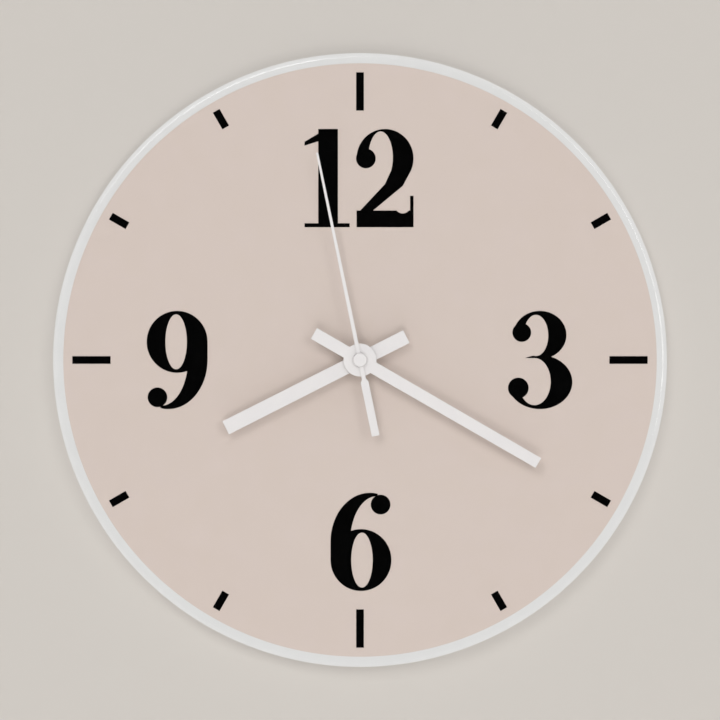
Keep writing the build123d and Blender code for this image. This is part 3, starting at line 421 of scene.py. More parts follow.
    def _tracks(self) -> NodeTree:
        """Copper tracks under the lacquer of a circuit board.

        Returns:
            The group.
        """
        wave_level, patch_scale, even_odds = 0.62, 0.7, 0.5
        desk, vector, scale = self._open("board_tracks")
        across, _, upward = desk.split(vector)
        flat = desk.add("ShaderNodeCombineXYZ", {0: across, 1: upward}).outputs[0]
        ways = []
        for way in ("X", "Y"):
            values = {"Vector": flat, "Scale": scale, "Distortion": 0.0}
            waves = desk.add("ShaderNodeTexWave", values, bands_direction=way)
            ways.append(desk.math("GREATER_THAN", waves.outputs["Fac"], wave_level))
        values = {"Vector": flat, "Scale": desk.math("MULTIPLY", scale, patch_scale)}
        plan = {"voronoi_dimensions": "2D", "distance": "CHEBYCHEV"}
        patches = desk.add("ShaderNodeTexVoronoi", values, **plan)
        shades = desk.add("ShaderNodeSeparateColor", {0: patches.outputs["Color"]})
        upright = desk.math("GREATER_THAN", shades.outputs[0], even_odds)
        lying = desk.math("SUBTRACT", 1.0, upright)
        first = desk.math("MULTIPLY", ways[0], upright)
        tracks = desk.math("ADD", first, desk.math("MULTIPLY", ways[1], lying))
        return self._close(desk, tracks, tracks)

    def _dust(self) -> NodeTree:
        """Faint uneven veil of dust and handling.

        Returns:
            The group.
        """
        speck_scale, contrast = 40.0, (0.28, 0.5)
        desk, vector, scale = self._open("thin_dust")
        broad = self._noise(desk, vector, scale, detail=4.0)
        specks = self._noise(desk, vector, desk.math("MULTIPLY", scale, speck_scale), detail=1.0)
        both = desk.math("MULTIPLY", broad, specks)
        return self._close(desk, desk.ramp(both, contrast), specks)


@dataclass(frozen=True)
class Finish:
    """A finish of two near colours and two degrees of gloss, spread by a pattern.

    Attributes:
        name: Name of the material.
        colour: Main colour, linear.
        second: Colour where the pattern is strongest.
        gloss: Lowest and highest roughness.
        pattern: How the surface varies.
        scale: Fineness of the pattern, per metre.
        relief: Height of the pattern, in metres.
        metallic: 1 for bare metal.
        coat: Weight of a clear coat.
        specular: Level of the mirror light, 0 for ink that the glass covers.
        dust: Share of dust.
    """

    name: str
    colour: Colour
    second: Colour
    gloss: Span
    pattern: Pattern
    scale: float
    relief: float = 0.0
    metallic: float = 0.0
    coat: float = 0.0
    specular: float = 0.5
    dust: float = 0.0

    def material(self, effects: Effects) -> Material:
        """Build the material.

        Args:
            effects: The shared node groups.

        Returns:
            The new material.
        """
        made, desk, shader = new_material(self.name)
        vector = desk.add("ShaderNodeTexCoord").outputs["Object"]
        pattern = desk.effect(effects.groups[self.pattern], vector, self.scale)
        colour = self._colour(desk, pattern, vector)
        if self.dust:
            veil = desk.effect(effects.dust, vector, DUST_SCALE)
            share = desk.math("MULTIPLY", veil.outputs["Mask"], self.dust)
            colour = desk.blend(share, colour, DUST_COLOUR)
        look = {
            "Base Color": colour,
            "Roughness": desk.ramp(pattern.outputs["Mask"], wanted=self.gloss),
            "Metallic": self.metallic,
            "Coat Weight": self.coat,
            "Specular IOR Level": self.specular,
        }
        if self.relief:
            height = pattern.outputs["Height"]
            values = {"Strength": 1.0, "Distance": self.relief, "Height": height}
            look["Normal"] = desk.add("ShaderNodeBump", values).outputs[0]
        desk.feed(shader, look)
        made.diffuse_color = (*self.colour, 1.0)
        return made

    def _colour(self, desk: ShaderDesk, pattern: Node, vector: Socket) -> Socket:
        """Colour before the dust: the two colours spread by the pattern."""
        return desk.blend(pattern.outputs["Mask"], self.colour, self.second)


@dataclass(frozen=True)
class JacketFinish(Finish):
    """Printed jacket of the cell: a pale band at its positive end and a sign at each end.

    Attributes:
        band: Colour of the band and the signs.
        band_from: x where the band starts.
        sign_places: x of the plus sign and of the minus sign.
        sign_size: Half length and half width of a sign's bars.
        sign_from: y that the signs are printed behind.
        axis_z: z of the cell's axis.
    """

    band: Colour = (0.6, 0.61, 0.62)
    band_from: float = 0.011
    sign_places: Span = (0.0068, -0.0188)
    sign_size: Span = (0.0021, 0.00042)
    sign_from: float = -0.0075
    axis_z: float = -0.01904

    def _bar(self, desk: ShaderDesk, spot: Sequence[Socket], middle: float, half: Span) -> Socket:
        """Mask of an upright or lying bar, seen along y.

        Args:
            desk: Desk of the material.
            spot: x, y and z of the point that is looked at.
            middle: x of the bar's middle.
            half: Half of its size along x and along z.

        Returns:
            The mask.
        """
        near_x = desk.math("COMPARE", spot[0], middle, half[0])
        near_z = desk.math("COMPARE", spot[2], self.axis_z, half[1])
        return desk.math("MULTIPLY", near_x, near_z)

    def _colour(self, desk: ShaderDesk, pattern: Node, vector: Socket) -> Socket:
        """Dark jacket with the band and the signs in the pale colour.

        Args:
            desk: Desk of the material.
            pattern: Node of the pattern.
            vector: Object coordinates.

        Returns:
            The colour.
        """
        spot = desk.split(vector)
        length, width = self.sign_size
        plus, minus = self.sign_places
        upright = self._bar(desk, spot, plus, (width, length))
        lying = self._bar(desk, spot, plus, (length, width))
        single = self._bar(desk, spot, minus, (length, width))
        rear = desk.math("GREATER_THAN", spot[1], self.sign_from)
        signs = desk.math("MAXIMUM", desk.math("MAXIMUM", upright, lying), single)
        band = desk.math("GREATER_THAN", spot[0], self.band_from)
        pale = desk.math("MAXIMUM", desk.math("MULTIPLY", signs, rear), band)
        return desk.blend(pale, super()._colour(desk, pattern, vector), self.band)


@dataclass(frozen=True)
class GlassFinish:
    """Clear float glass, which lets the lamps through to the print behind it.

    Attributes:
        name: Name of the material.
        tint: Colour of the glass, linear.
        haze: Lowest and highest roughness of the faces.
        veil_scale: Fineness of the haze, per metre.
        index: Index of refraction.
        edge_radius: Radii between which the faces turn into the ground edge.
        edge_haze: Roughness that the ground edge adds.
        depth_colour: Colour that a long way through the glass takes on.
        depth_density: Strength of that colour, per metre.
    """

    name: str = "clear_glass"
    tint: Colour = (0.99, 1.0, 0.996)
    haze: Span = (0.0, 0.012)
    veil_scale: float = 12.0
    index: float = 1.52
    edge_radius: Span = (147.6 * MM, 148.2 * MM)
    edge_haze: float = 0.24
    depth_colour: Colour = (0.75, 0.92, 0.86)
    depth_density: float = 10.0

    def material(self, effects: Effects) -> Material:
        """Build the material.

        Args:
            effects: The shared node groups.

        Returns:
            The new material.
        """
        made, desk, shader = new_material(self.name)
        vector = desk.add("ShaderNodeTexCoord").outputs["Object"]
        veil = desk.effect(effects.dust, vector, self.veil_scale)
        faces = desk.ramp(veil.outputs["Mask"], wanted=self.haze)
        look = {
            "Base Color": (*self.tint, 1.0),
            "Transmission Weight": 1.0,
            "IOR": self.index,
            "Roughness": desk.math("ADD", faces, self._edge(desk, vector)),
        }
        desk.feed(shader, look)
        path = desk.add("ShaderNodeLightPath")
        clear = desk.add("ShaderNodeBsdfTransparent")
        seen = desk.either(path.outputs["Is Camera Ray"], clear, shader)
        tint = {"Color": (*self.depth_colour, 1.0), "Density": self.depth_density}
        depth = desk.add("ShaderNodeVolumeAbsorption", tint)
        end = made.node_tree.nodes["Material Output"]
        desk.feed(end, {"Surface": seen.outputs[0], "Volume": depth.outputs[0]})
        return made

    def _edge(self, desk: ShaderDesk, vector: Socket) -> Socket:
        """Roughness of the ground edge, which is none on the faces.

        Args:
            desk: Desk of the material.
            vector: Object coordinates.

        Returns:
            The roughness.
        """
        flat = desk.stretch(vector, (1.0, 0.0, 1.0))
        radius = desk.add("ShaderNodeVectorMath", {0: flat}, operation="LENGTH")
        return desk.ramp(radius.outputs["Value"], self.edge_radius, (0.0, self.edge_haze))


FINISHES: tuple[Finish | GlassFinish, ...] = (
    GlassFinish(),
    Finish(
        "black_ink", (0.0006, 0.0006, 0.0006), (0.0012, 0.0012, 0.0012), (0.45, 0.6),
        Pattern.MOTTLE, 2500, specular=0.0,
    ),
    Finish(
        "blush_print", screen(216, 200, 193), screen(215, 199, 191), (0.45, 0.6),
        Pattern.MOTTLE, 1800, specular=0.0,
    ),
    Finish(
        "white_film", screen(225, 223, 223), screen(223, 221, 221), (0.4, 0.55),
        Pattern.MOTTLE, 2600, relief=0.00001, specular=0.1,
    ),
    Finish(
        "white_paint", screen(227, 224, 223), screen(224, 221, 221), (0.32, 0.46),
        Pattern.MOTTLE, 1600, relief=0.000012,
    ),
    Finish(
        "brass", (0.76, 0.59, 0.32), (0.62, 0.46, 0.23), (0.22, 0.4),
        Pattern.TURNED, 5000, relief=0.00001, metallic=1.0,
    ),
    Finish(
        "nickel", (0.72, 0.7, 0.65), (0.6, 0.58, 0.54), (0.14, 0.34),
        Pattern.BRUSHED, 3500, relief=0.000006, metallic=1.0,
    ),
    Finish(
        "steel", (0.6, 0.61, 0.62), (0.44, 0.46, 0.48), (0.36, 0.56),
        Pattern.BRUSHED, 2600, relief=0.000012, metallic=1.0, dust=0.08,
    ),
    Finish(
        "arbor_steel", (0.7, 0.7, 0.72), (0.55, 0.55, 0.57), (0.12, 0.3),
        Pattern.TURNED, 6000, metallic=1.0,
    ),
    Finish(
        "iron", (0.34, 0.34, 0.35), (0.22, 0.21, 0.21), (0.35, 0.6),
        Pattern.MOTTLE, 1500, relief=0.00001, metallic=1.0,
    ),
    Finish(
        "magnet", (0.1, 0.1, 0.105), (0.16, 0.16, 0.165), (0.4, 0.65),
        Pattern.PEBBLE, 6000, relief=0.00001, metallic=0.6,
    ),
    Finish(
        "rubber", (0.018, 0.018, 0.018), (0.03, 0.03, 0.03), (0.65, 0.85),
        Pattern.PEBBLE, 3500, relief=0.00002, dust=0.25,
    ),
    Finish(
        "black_case", (0.017, 0.017, 0.019), (0.023, 0.023, 0.025), (0.4, 0.56),
        Pattern.PEBBLE, 4200, relief=0.00003, dust=0.04,
    ),
    Finish(
        "acetal", (0.8, 0.78, 0.71), (0.74, 0.71, 0.63), (0.28, 0.42),
        Pattern.MOTTLE, 1200, relief=0.000008,
    ),
    Finish(
        "green_board", (0.02, 0.17, 0.07), (0.06, 0.32, 0.13), (0.25, 0.35),
        Pattern.TRACKS, 260, relief=0.00003, coat=0.3,
    ),
    Finish(
        "resin", (0.008, 0.008, 0.01), (0.014, 0.014, 0.016), (0.1, 0.2),
        Pattern.MOTTLE, 900, relief=0.00002,
    ),
    Finish(
        "copper", (0.36, 0.12, 0.045), (0.72, 0.3, 0.13), (0.22, 0.38),
        Pattern.WOUND, 800, relief=0.00006, metallic=0.85, coat=0.4,
    ),
    JacketFinish(
        "cell_can", screen(62, 74, 86), screen(54, 66, 78), (0.22, 0.34),
        Pattern.MOTTLE, 900, relief=0.000008, coat=0.35,
    ),
    Finish(
        "cell_seal", (0.3, 0.32, 0.34), (0.24, 0.26, 0.28), (0.4, 0.55),
        Pattern.MOTTLE, 1500, relief=0.000008,
    ),
)


def take(piece: Piece) -> None:
    """Select one piece alone and make it the active one."""
    bpy.ops.object.select_all(action="DESELECT")
    bpy.context.view_layer.objects.active = piece
    piece.select_set(True)


@contextmanager
def editing(piece: Piece) -> Iterator[None]:
    """Hold one piece in edit mode, with nothing else selected.

    Args:
        piece: The piece to edit.
    """
    take(piece)
    bpy.ops.object.mode_set(mode="EDIT")
    bpy.context.tool_settings.mesh_select_mode = (False, True, False)
    yield
    bpy.ops.object.mode_set(mode="OBJECT")


def basic_shape(add: Callable, **settings: object) -> Piece:
    """Add one of Blender's basic shapes, with its place and turn laid into its mesh.

    Args:
        add: Blender's operator that adds the shape.
        settings: Its sizes, place and turn.

    Returns:
        The shape.
    """
    bpy.ops.object.select_all(action="DESELECT")
    add(**settings)
    bpy.ops.object.transform_apply(location=True, rotation=True, scale=True)
    return bpy.context.active_object


def round_edges(
    piece: Piece, fits: Callable[[Edge], bool], width: float, segments: int, clamp: bool = False
) -> None:
    """Round the edges of a piece that pass a test.

    Args:
        piece: The piece.
        fits: Test of an edge.
        width: Width of the rounding.
        segments: Faces across the rounding.
        clamp: Whether roundings stop where they would cross.
    """
    with editing(piece):
        bpy.ops.mesh.select_all(action="DESELECT")
        shape = bmesh.from_edit_mesh(piece.data)
        for edge in [edge for edge in shape.edges if fits(edge)]:
            edge.select_set(True)
        bmesh.update_edit_mesh(piece.data)
        bpy.ops.mesh.bevel(
            offset=width, offset_type="OFFSET", segments=segments, clamp_overlap=clamp
        )


def merge_doubles(gap: float) -> None:
    """Merge the vertices of the piece in edit mode and turn all its faces outwards.

    Args:
        gap: Distance under which two vertices become one.
    """
    bpy.ops.mesh.customdata_custom_splitnormals_clear()
    bpy.ops.mesh.select_all(action="SELECT")
    bpy.ops.mesh.remove_doubles(threshold=gap)
    bpy.ops.mesh.normals_make_consistent(inside=False)


def tidy_normals(piece: Piece) -> None:
    """Merge doubles, turn all faces outwards and smooth what bends only a little.

    The normals follow the larger faces, so that a flat face beside a rounded edge stays flat.

    Args:
        piece: The piece to finish.
    """
    with editing(piece):
        merge_doubles(DOUBLES_GAP)
    bpy.ops.object.shade_smooth_by_angle(angle=SMOOTH_ANGLE)
    change = piece.modifiers.new("flat_faces", "WEIGHTED_NORMAL")
    change.keep_sharp = True
    bpy.ops.object.modifier_apply(modifier=change.name)


def turned_piece(
    name: str, section: Sequence[Span], segments: int = TURN_SEGMENTS, at: Span = (0.0, 0.0)
) -> Piece:
    """Turn a closed section round an axis along y, by drawing a ring out along it.

    Args:
        name: Name of the piece.
        section: Radius and y of each corner of the section, in order.
        segments: Faces round the axis.
        at: x and z of the axis.

    Returns:
        The new piece.
    """
    radius, depth = section[0]
    piece = basic_shape(
        bpy.ops.mesh.primitive_circle_add,
        vertices=segments,
        radius=radius,
        location=(at[0], depth, at[1]),
        rotation=UPRIGHT,
    )
    piece.name = piece.data.name = name
    with editing(piece):
        bpy.ops.mesh.select_all(action="SELECT")
        for next_radius, next_depth in section[1:]:
            step = (0.0, next_depth - depth, 0.0)
            bpy.ops.mesh.extrude_edges_move(TRANSFORM_OT_translate={"value": step})
            share = next_radius / radius
            centre = (at[0], next_depth, at[1])
            bpy.ops.transform.resize(value=(share, 1.0, share), center_override=centre)
            radius, depth = next_radius, next_depth
        bpy.ops.mesh.select_all(action="DESELECT")
        bpy.ops.mesh.select_non_manifold()
        bpy.ops.mesh.bridge_edge_loops()
    return piece


def round_rim(piece: Piece, radius: float, depth: float, width: float, segments: int) -> None:
    """Round the rim of a turned piece.

    Args:
        piece: The turned piece, with its axis on the y axis.
        radius: Radius of the rim.
        depth: y of the rim.
        width: Radius of the rounding.
        segments: Faces across the rounding.
    """

    def on_rim(edge: Edge) -> bool:
        """Whether both ends of an edge lie on the rim."""
        return all(
            abs(math.hypot(end.co.x, end.co.z) - radius) < RIM_GAP
            and abs(end.co.y - depth) < RIM_GAP
            for end in edge.verts
        )

    round_edges(piece, on_rim, width, segments)


def node_copy(node: str, ending: str) -> Piece:
    """Copy a frame node as one merged mesh, which rides and stands for the node.

    Args:
        node: Name of the node.
        ending: Word that the copy's name ends in.

    Returns:
        The copy.
    """
    source = frame["nodes"][node]
    piece = bpy.data.objects.new(f"{node}_{ending}", source.data.copy())
    bpy.context.scene.collection.objects.link(piece)
    with editing(piece):
        merge_doubles(COPY_GAP)
        bpy.ops.mesh.dissolve_limited(angle_limit=FLAT_ANGLE)
    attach(piece, source["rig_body"])
    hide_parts(node)
    return piece


def ease_edges(piece: Piece, width: float, where: RoomTest = anywhere) -> None:
    """Round the sharp edges of a piece a little.

    Args:
        piece: The piece.
        width: Width of the rounding.
        where: Test that both ends of an edge have to pass.
    """

    def sharp(edge: Edge) -> bool:
        """Whether an edge is in its place and sharp enough to round."""
        placed = all(where(end.co) for end in edge.verts)
        return placed and len(edge.link_faces) == 2 and edge.calc_face_angle() >= SHARP_ANGLE

    round_edges(piece, sharp, width, EASE_SEGMENTS, clamp=True)
    tidy_normals(piece)


def eased_copy(node: str, width: float, where: RoomTest = anywhere) -> Piece:
    """Copy a frame node and round its sharp edges a little.

    Args:
        node: Name of the node.
        width: Width of the rounding.
        where: Test that both ends of an edge have to pass.

    Returns:
        The copy.
    """
    piece = node_copy(node, "eased")
    ease_edges(piece, width, where)
    return piece


def carve(piece: Piece, tool: Piece, cut: Cut) -> None:
    """Cut a piece with a tool shape and take the tool away.

    Args:
        piece: The piece.
        tool: Closed shape that cuts it.
        cut: What is kept.
    """
    take(piece)
    change = piece.modifiers.new("cut", "BOOLEAN")
    change.operation = cut.value
    change.solver = "EXACT"
    change.object = tool
    bpy.ops.object.modifier_apply(modifier=change.name)
    shape = tool.data
    bpy.data.objects.remove(tool)
    bpy.data.meshes.remove(shape)


def cut_block(middle: Point, size: Point, corner: float = 0.0) -> Piece:
    """Block that cuts a groove, with its edges along y rounded.

    Args:
        middle: Its middle.
        size: Its size along x, y and z.
        corner: Radius of the edges along y.

    Returns:
        The block.
    """
    add = bpy.ops.mesh.primitive_cube_add
    block = basic_shape(add, size=1.0, location=middle, scale=size)

    def along_y(edge: Edge) -> bool:
        """Whether an edge runs along y."""
        way = edge.verts[1].co - edge.verts[0].co
        return abs(way.y) > ALONG_SHARE * way.length

    if corner:
        round_edges(block, along_y, corner, CORNER_SEGMENTS)
    return block


class PaintShop:
    """Materials of the finishes, each made once."""

    def __init__(self) -> None:
        """Build the shared groups and then the materials."""
        effects = Effects()
        self.materials = {finish.name: finish.material(effects) for finish in FINISHES}

    def dress(self, piece: Piece, slot: str) -> None:
        """Give a piece the finish of a slot, in place of any other.

        Args:
            piece: The piece.
            slot: Name of the slot in the record.
        """
        piece.data.materials.clear()
        piece.data.materials.append(self.materials[slot])

    def dress_frame(self) -> None:
        """Give every node of the frame the finish that the record names for it."""
        for part in frame["record"]["subparts"]:
            self.dress(frame["nodes"][part["node"]], part["material_slot"])


@dataclass
class Dial:
    """Glass disc with its print and the film behind it.

    Attributes:
        hole_radius: Radius of the hole for the bushing.
        front_round: Radius of the front edge of the glass.
        back_round: Radius of its back edge.
        edge_band: Width of the ring on each face that the edge is rounded in.
        front_faces: Faces across the front edge.
        back_faces: Faces across the back edge.
        segments: Faces round each disc.
    """

    hole_radius: float = 5.0 * MM
    front_round: float = 2.2 * MM
    back_round: float = 1.4 * MM
    edge_band: float = 2.5 * MM
    front_faces: int = 14
    back_faces: int = 9
    segments: int = 360

    def _disc(self, node: str) -> Piece:
        """Turn a disc with a hole in the place of a node.

        Args:
            node: Name of the node that the disc stands for.

        Returns:
            The disc.
        """
        low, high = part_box(node)
        section = [
            (self.hole_radius, high.y),
            (high.x - self.edge_band, high.y),
            (high.x, high.y),
            (high.x, low.y),
            (high.x - self.edge_band, low.y),
            (self.hole_radius, low.y),
        ]
        piece = turned_piece(f"{node}_disc", section, self.segments)
        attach(piece, "clock")
        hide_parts(node)
        return piece

    def build(self) -> list[Dressed]:
        """Make the discs.

        Returns:
            Each disc with its slot.
        """
        glass = self._disc("glass_dial")
        low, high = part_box("glass_dial")
        round_rim(glass, high.x, low.y, self.front_round, self.front_faces)
        round_rim(glass, high.x, high.y, self.back_round, self.back_faces)
        discs = [
            (glass, "clear_glass"),
            (self._disc("dial_print"), "blush_print"),
            (self._disc("backing_film"), "white_film"),
        ]
        for piece, _ in discs:
            tidy_normals(piece)
        return discs


@dataclass
class Hands:
    """Three white hands, and the bushes of the hour hand and the minute hand.

    Attributes:
        edge: Rounding of the painted edges.
        bush_edge: Rounding of the bushes' rims.
    """

    edge: float = 0.09 * MM
    bush_edge: float = 0.15 * MM

    def build(self) -> list[Dressed]:
        """Make the hands and their bushes with soft edges.

        Returns:
            Each piece with its slot.
        """
        blades = ("hour_hand", "minute_hand", "seconds_hand")
        collars = ("hour_hand_bush", "minute_hand_bush")
        hands = [(eased_copy(node, self.edge), "white_paint") for node in blades]
        bushes = [(eased_copy(node, self.bush_edge), "brass") for node in collars]
        return hands + bushes


@dataclass
class Fastening:
    """Nut and washer on the glass, and the gasket, strap and keyhole plate behind the dial.

    Attributes:
        nut_cone: How far the nut's corners are turned down.
        nut_bore: Radius inside the nut that the turning leaves alone.
        washer_edge: Rounding of the washer.
        gasket_edge: Rounding of the gasket.
        sheet_edge: Rounding of the sheet metal's edges.
    """

    nut_cone: float = 0.55 * MM
    nut_bore: float = 3.0 * MM
    washer_edge: float = 0.16 * MM
    gasket_edge: float = 0.25 * MM
    sheet_edge: float = 0.14 * MM

    def _nut(self) -> Piece:
        """Hexagon nut whose front corners are turned down to a cone.

        Returns:
            The nut.
        """
        piece = node_copy("dial_nut", "turned")
        low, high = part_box("dial_nut")
        flats, corners = high.z, high.x
        section = [
            (self.nut_bore, high.y + MM),
            (corners + MM, high.y + MM),
            (corners + MM, low.y + self.nut_cone),
            (flats, low.y),
            (self.nut_bore, low.y),
        ]
        cone = turned_piece("nut_cone", section)
        tidy_normals(cone)
        carve(piece, cone, Cut.INSIDE)
        tidy_normals(piece)
        return piece

    def build(self) -> list[Dressed]:
        """Make the pieces.

        Returns:
            Each piece with its slot.
        """
        return [
            (self._nut(), "brass"),
            (eased_copy("dial_washer", self.washer_edge), "brass"),
            (eased_copy("rubber_gasket", self.gasket_edge), "rubber"),
            (eased_copy("hanger", self.sheet_edge), "steel"),
            (eased_copy("keyhole_plate", self.sheet_edge), "steel"),
        ]


@dataclass
class Movement:
    """Moulded case of the movement, its cover and the setting knob.

    Attributes:
        case_edge: Rounding of the case's open edges.
        cover_edge: Rounding of the cover's outer edge.
        knob_edge: Rounding of the knob's flutes and slot.
        mark_depth: Depth of the marks moulded into the cover.
        arrow_radius: Middle radius of the turning arrow round the knob.
        arrow_width: Width of the arrow's line.
        arrow_half_angle: Half of the arrow's arc, in degrees.
        arrow_segments: Faces round the ring that the arrow's line is cut from.
        head_size: Radius of the arrow's heads.
        sign_place: x and z of the plus sign by the cell, whose mate is on the other side.
        sign_size: Length and width of a sign's bars.
        field: Middle x and z, width and height of the sunk field for a label.
        field_corner: Radius of the field's corners.
    """

    case_edge: float = 0.2 * MM
    cover_edge: float = 0.2 * MM
    knob_edge: float = 0.1 * MM
    mark_depth: float = 0.3 * MM
    arrow_radius: float = 9.8 * MM
    arrow_width: float = 0.8 * MM
    arrow_half_angle: float = 52.0
    arrow_segments: int = 180
    head_size: float = 1.5 * MM
    sign_place: Span = (21.6 * MM, -8.2 * MM)
    sign_size: Span = (3.4 * MM, 0.8 * MM)
    field: tuple[float, float, float, float] = (-7.5 * MM, 17.5 * MM, 32.0 * MM, 13.0 * MM)
    field_corner: float = 1.5 * MM

    def _arrow_line(self, middle: Span, depth: float) -> Piece:
        """Arc above the knob, cut from a ring by two planes.

        Args:
            middle: x and z of the knob's axis.
            depth: How far the tool reaches to each side of the cover's face.

        Returns:
            The tool that cuts the line.
        """
        inner = self.arrow_radius - self.arrow_width / 2
        outer = self.arrow_radius + self.arrow_width / 2
        section = [(inner, depth), (outer, depth), (outer, -depth), (inner, -depth)]
        ring = turned_piece("arrow_line", section, self.arrow_segments, middle)
        tidy_normals(ring)
        centre = (middle[0], 0.0, middle[1])
        angle = math.radians(self.arrow_half_angle)
        for side in (1.0, -1.0):
            normal = (side * math.cos(angle), 0.0, -math.sin(angle))
            with editing(ring):
                bpy.ops.mesh.select_all(action="SELECT")
                bpy.ops.mesh.bisect(
                    plane_co=centre, plane_no=normal, clear_outer=True, use_fill=True
                )
        tidy_normals(ring)
        return ring

    def _arrow_head(self, middle: Span, side: float, depth: float) -> Piece:
        """Three-cornered head at one end of the arrow.

        Args:
            middle: x and z of the knob's axis.
            side: 1 for the end towards +x, -1 for the other.
            depth: How far the tool reaches to each side of the cover's face.

        Returns:
            The tool that cuts the head.
        """
        angle = math.radians(90.0 - side * self.arrow_half_angle)
        place = (
            middle[0] + self.arrow_radius * math.cos(angle),
            0.0,
            middle[1] + self.arrow_radius * math.sin(angle),
        )
        head = basic_shape(
            bpy.ops.mesh.primitive_cylinder_add,
            vertices=3,
            radius=self.head_size,
            depth=2 * depth,
            location=place,
            rotation=UPRIGHT,
        )
        corner = max((vertex.co for vertex in head.data.vertices), key=lambda spot: spot.z)
        points_at = math.atan2(corner.z - place[2], corner.x - place[0])
        turn = (angle - side * math.pi / 2) - points_at
        spin = Matrix.Rotation(-turn, 4, "Y")
        shift = Matrix.Translation(place)
        head.data.transform(shift @ spin @ shift.inverted())
        return head

    def _cover(self) -> Piece:
        """Cover with a turning arrow, the cell's signs and a label field sunk into its face.

        Returns:
            The cover.
        """
        piece = node_copy("rear_cover", "marked")
        ease_edges(piece, self.cover_edge, where=lambda place: place.y > -REAR_BAND)
        low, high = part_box("setting_knob")
        middle = ((low.x + high.x) / 2, (low.z + high.z) / 2)
        carve(piece, self._arrow_line(middle, self.mark_depth), Cut.OUTSIDE)
        for side in (1.0, -1.0):
            carve(piece, self._arrow_head(middle, side, self.mark_depth), Cut.OUTSIDE)
        length, width = self.sign_size
        across, upward = self.sign_place
        deep = 2 * self.mark_depth
        field_x, field_z, field_width, field_height = self.field
        for spot, size, corner in (
            ((across, 0.0, upward), (length, deep, width), 0.0),
            ((across, 0.0, upward), (width, deep, length), 0.0),
            ((-across, 0.0, upward), (length, deep, width), 0.0),
            ((field_x, 0.0, field_z), (field_width, deep, field_height), self.field_corner),
        ):
            carve(piece, cut_block(spot, size, corner), Cut.OUTSIDE)
        tidy_normals(piece)
        return piece

    def build(self) -> list[Dressed]:
        """Make the pieces.

        Returns:
            Each piece with its slot.
        """
        low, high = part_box("movement_case")

        def outside(place: Vector) -> bool:
            """Whether a point lies on the rear rim of the case or on its bottom."""
            return place.y > high.y - REAR_BAND or place.z < low.z + REAR_BAND

        pieces = [
            eased_copy("movement_case", self.case_edge, where=outside),
            self._cover(),
            eased_copy("setting_knob", self.knob_edge),
        ]
        return [(piece, "black_case") for piece in pieces]


@dataclass(frozen=True)
class Lamp:
    """Square soft lamp aimed at the clock.

    Attributes:
        name: Name of the lamp.
        place: Where it stands.
        size: Length of its side.
        power: Its power in watts.
        mirrored: Whether glossy faces mirror it.
    """

    name: str
    place: Point
    size: float
    power: float
    mirrored: bool = True

    def build(self) -> None:
        """Set the lamp up in the scene."""
        lamp = bpy.data.lights.new(self.name, "AREA")
        lamp.shape = "SQUARE"
        lamp.size = self.size
        lamp.energy = self.power
        holder = bpy.data.objects.new(self.name, lamp)
        holder.location = self.place
        holder.rotation_euler = (-Vector(self.place)).to_track_quat("-Z", "Y").to_euler()
        holder.visible_transmission = False
        holder.visible_glossy = self.mirrored
        bpy.context.scene.collection.objects.link(holder)


LAMPS = (
    Lamp("key_lamp", (-0.6, -3.3, 1.0), 1.15, 26.4),
    Lamp("fill_lamp", (1.0, -3.3, 0.45), 1.15, 19.2),
    Lamp("low_lamp", (-0.1, -3.3, -0.95), 1.0, 20.8, mirrored=False),
    Lamp("back_lamp", (1.2, 1.9, 1.3), 1.7, 26.0),
    Lamp("low_back_lamp", (-1.6, 1.7, -0.1), 1.3, 12.0),
)


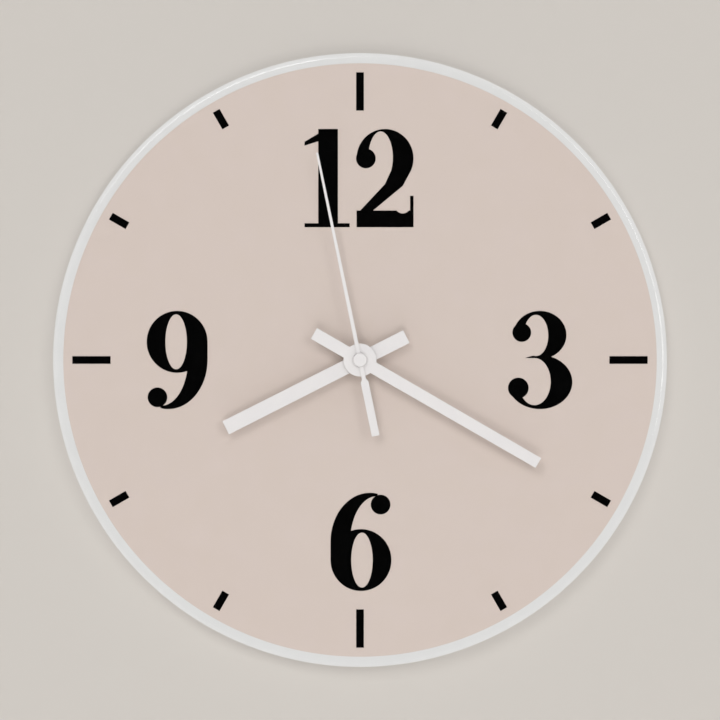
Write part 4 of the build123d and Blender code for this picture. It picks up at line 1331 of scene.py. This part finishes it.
@dataclass
class Studio:
    """Wall, floor, lamps and camera.

    Attributes:
        view_width: Width of the picture at the front of the dial.
        view_distance: From the camera to the front of the dial.
        sensor: Width of the camera's sensor, in millimetres.
        sheet_size: Length of a side of the wall and of the floor.
        paint_roughness: Roughness of the paint on both.
        paint_specular: Level of its mirror light.
        wall_colour: Colour of the wall.
        wall_gap: From the back of the clock to the wall.
        floor_colour: Colour of the floor.
        floor_height: z of the floor.
        floor_glow: Share of the surround's plain colour in the floor that the camera sees.
        surround: Plain colour behind everything.
        dim_cone: y of the directions between which the light from behind the camera grows.
        light_levels: Strength of the light behind the camera and all round.
    """

    view_width: float = 0.3515
    view_distance: float = 2.4
    sensor: float = 36.0
    sheet_size: float = 30.0
    paint_roughness: float = 0.9
    paint_specular: float = 0.1
    wall_colour: Colour = screen(205, 200, 194)
    wall_gap: float = 0.3 * MM
    floor_colour: Colour = screen(238, 236, 233)
    floor_height: float = -1.5
    floor_glow: float = 0.7
    surround: Colour = (0.47, 0.46, 0.45)
    dim_cone: Span = (-0.99, -0.8)
    light_levels: Span = (0.02, 0.5)

    def build(self) -> None:
        """Make the stage, the lamps, the world and the camera."""
        self._wall()
        self._floor()
        self._world()
        for lamp in LAMPS:
            lamp.build()
        self._camera()

    def _one_sided(self, name: str, colour: Colour, glow: float) -> Material:
        """Matt paint that can't be seen from behind.

        Args:
            name: Name of the material.
            colour: Its colour.
            glow: Share of the surround's plain colour that the camera sees.

        Returns:
            The material.
        """
        made, desk, shader = new_material(name)
        look = {
            "Base Color": (*colour, 1.0),
            "Roughness": self.paint_roughness,
            "Specular IOR Level": self.paint_specular,
        }
        desk.feed(shader, look)
        path = desk.add("ShaderNodeLightPath")
        plain = desk.add("ShaderNodeEmission", {"Color": (*self.surround, 1.0)})
        share = desk.math("MULTIPLY", path.outputs["Is Camera Ray"], glow)
        paint = desk.either(share, shader, plain)
        side = desk.add("ShaderNodeNewGeometry")
        clear = desk.add("ShaderNodeBsdfTransparent")
        seen = desk.either(side.outputs["Backfacing"], paint, clear)
        desk.feed(made.node_tree.nodes["Material Output"], {"Surface": seen.outputs[0]})
        return made

    def _sheet(
        self, name: str, place: Point, turn: Point, colour: Colour, glow: float = 0.0
    ) -> Piece:
        """Large flat sheet that takes shadows and throws none.

        Args:
            name: Name of the sheet.
            place: Its middle.
            turn: Its turn, in radians.
            colour: Its colour.
            glow: Share of the surround's plain colour that the camera sees.

        Returns:
            The sheet.
        """
        bpy.ops.object.select_all(action="DESELECT")
        bpy.ops.mesh.primitive_plane_add(size=self.sheet_size, location=place, rotation=turn)
        sheet = bpy.context.active_object
        sheet.name = sheet.data.name = name
        sheet.data.materials.append(self._one_sided(f"{name}_paint", colour, glow))
        sheet.visible_shadow = False
        return sheet

    def _wall(self) -> None:
        """Pale wall right behind the clock."""
        place = (0.0, self.wall_gap, 0.0)
        wall = self._sheet("wall", place, UPRIGHT, self.wall_colour)
        wall.visible_diffuse = False

    def _floor(self) -> None:
        """Pale floor well below the clock."""
        place = (0.0, 0.0, self.floor_height)
        floor = self._sheet("floor", place, (0.0, 0.0, 0.0), self.floor_colour, self.floor_glow)
        floor.visible_glossy = False

    def _world(self) -> None:
        """Soft light from all round, dim behind the camera, with a pale surround for the eye."""
        world = bpy.data.worlds.new("studio")
        world.use_nodes = True
        bpy.context.scene.world = world
        desk = ShaderDesk(world.node_tree)
        _, along, _ = desk.split(desk.add("ShaderNodeTexCoord").outputs["Generated"])
        level = desk.ramp(along, self.dim_cone, self.light_levels, "SMOOTHSTEP")
        light = world.node_tree.nodes["Background"]
        desk.feed(light, {"Color": (1.0, 1.0, 1.0, 1.0), "Strength": level})
        pale = desk.add("ShaderNodeBackground", {"Color": (*self.surround, 1.0), "Strength": 1.0})
        path = desk.add("ShaderNodeLightPath")
        straight, through = path.outputs["Is Camera Ray"], path.outputs["Is Transmission Ray"]
        seen = desk.either(desk.math("MAXIMUM", straight, through), light, pale)
        desk.feed(world.node_tree.nodes["World Output"], {"Surface": seen.outputs[0]})

    def _camera(self) -> None:
        """Long lens straight in front of the dial."""
        low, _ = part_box("glass_dial")
        lens = bpy.data.cameras.new("camera")
        lens.sensor_width = self.sensor
        lens.lens = self.sensor * self.view_distance / self.view_width
        holder = bpy.data.objects.new("camera", lens)
        holder.location = (0.0, low.y - self.view_distance, 0.0)
        holder.rotation_euler = UPRIGHT
        bpy.context.scene.collection.objects.link(holder)
        bpy.context.scene.camera = holder


def main() -> None:
    """Build the studio and the clock and report each piece."""
    logging.basicConfig(level=logging.INFO, format="%(message)s")
    bpy.context.scene.view_settings.view_transform = "Standard"
    Studio().build()
    shop = PaintShop()
    shop.dress_frame()
    for assembly in (Dial(), Fastening(), Movement(), Hands()):
        for piece, slot in assembly.build():
            shop.dress(piece, slot)
            log.info("%s: %d faces", piece.name, len(piece.data.polygons))


if __name__ == "__main__":
    main()
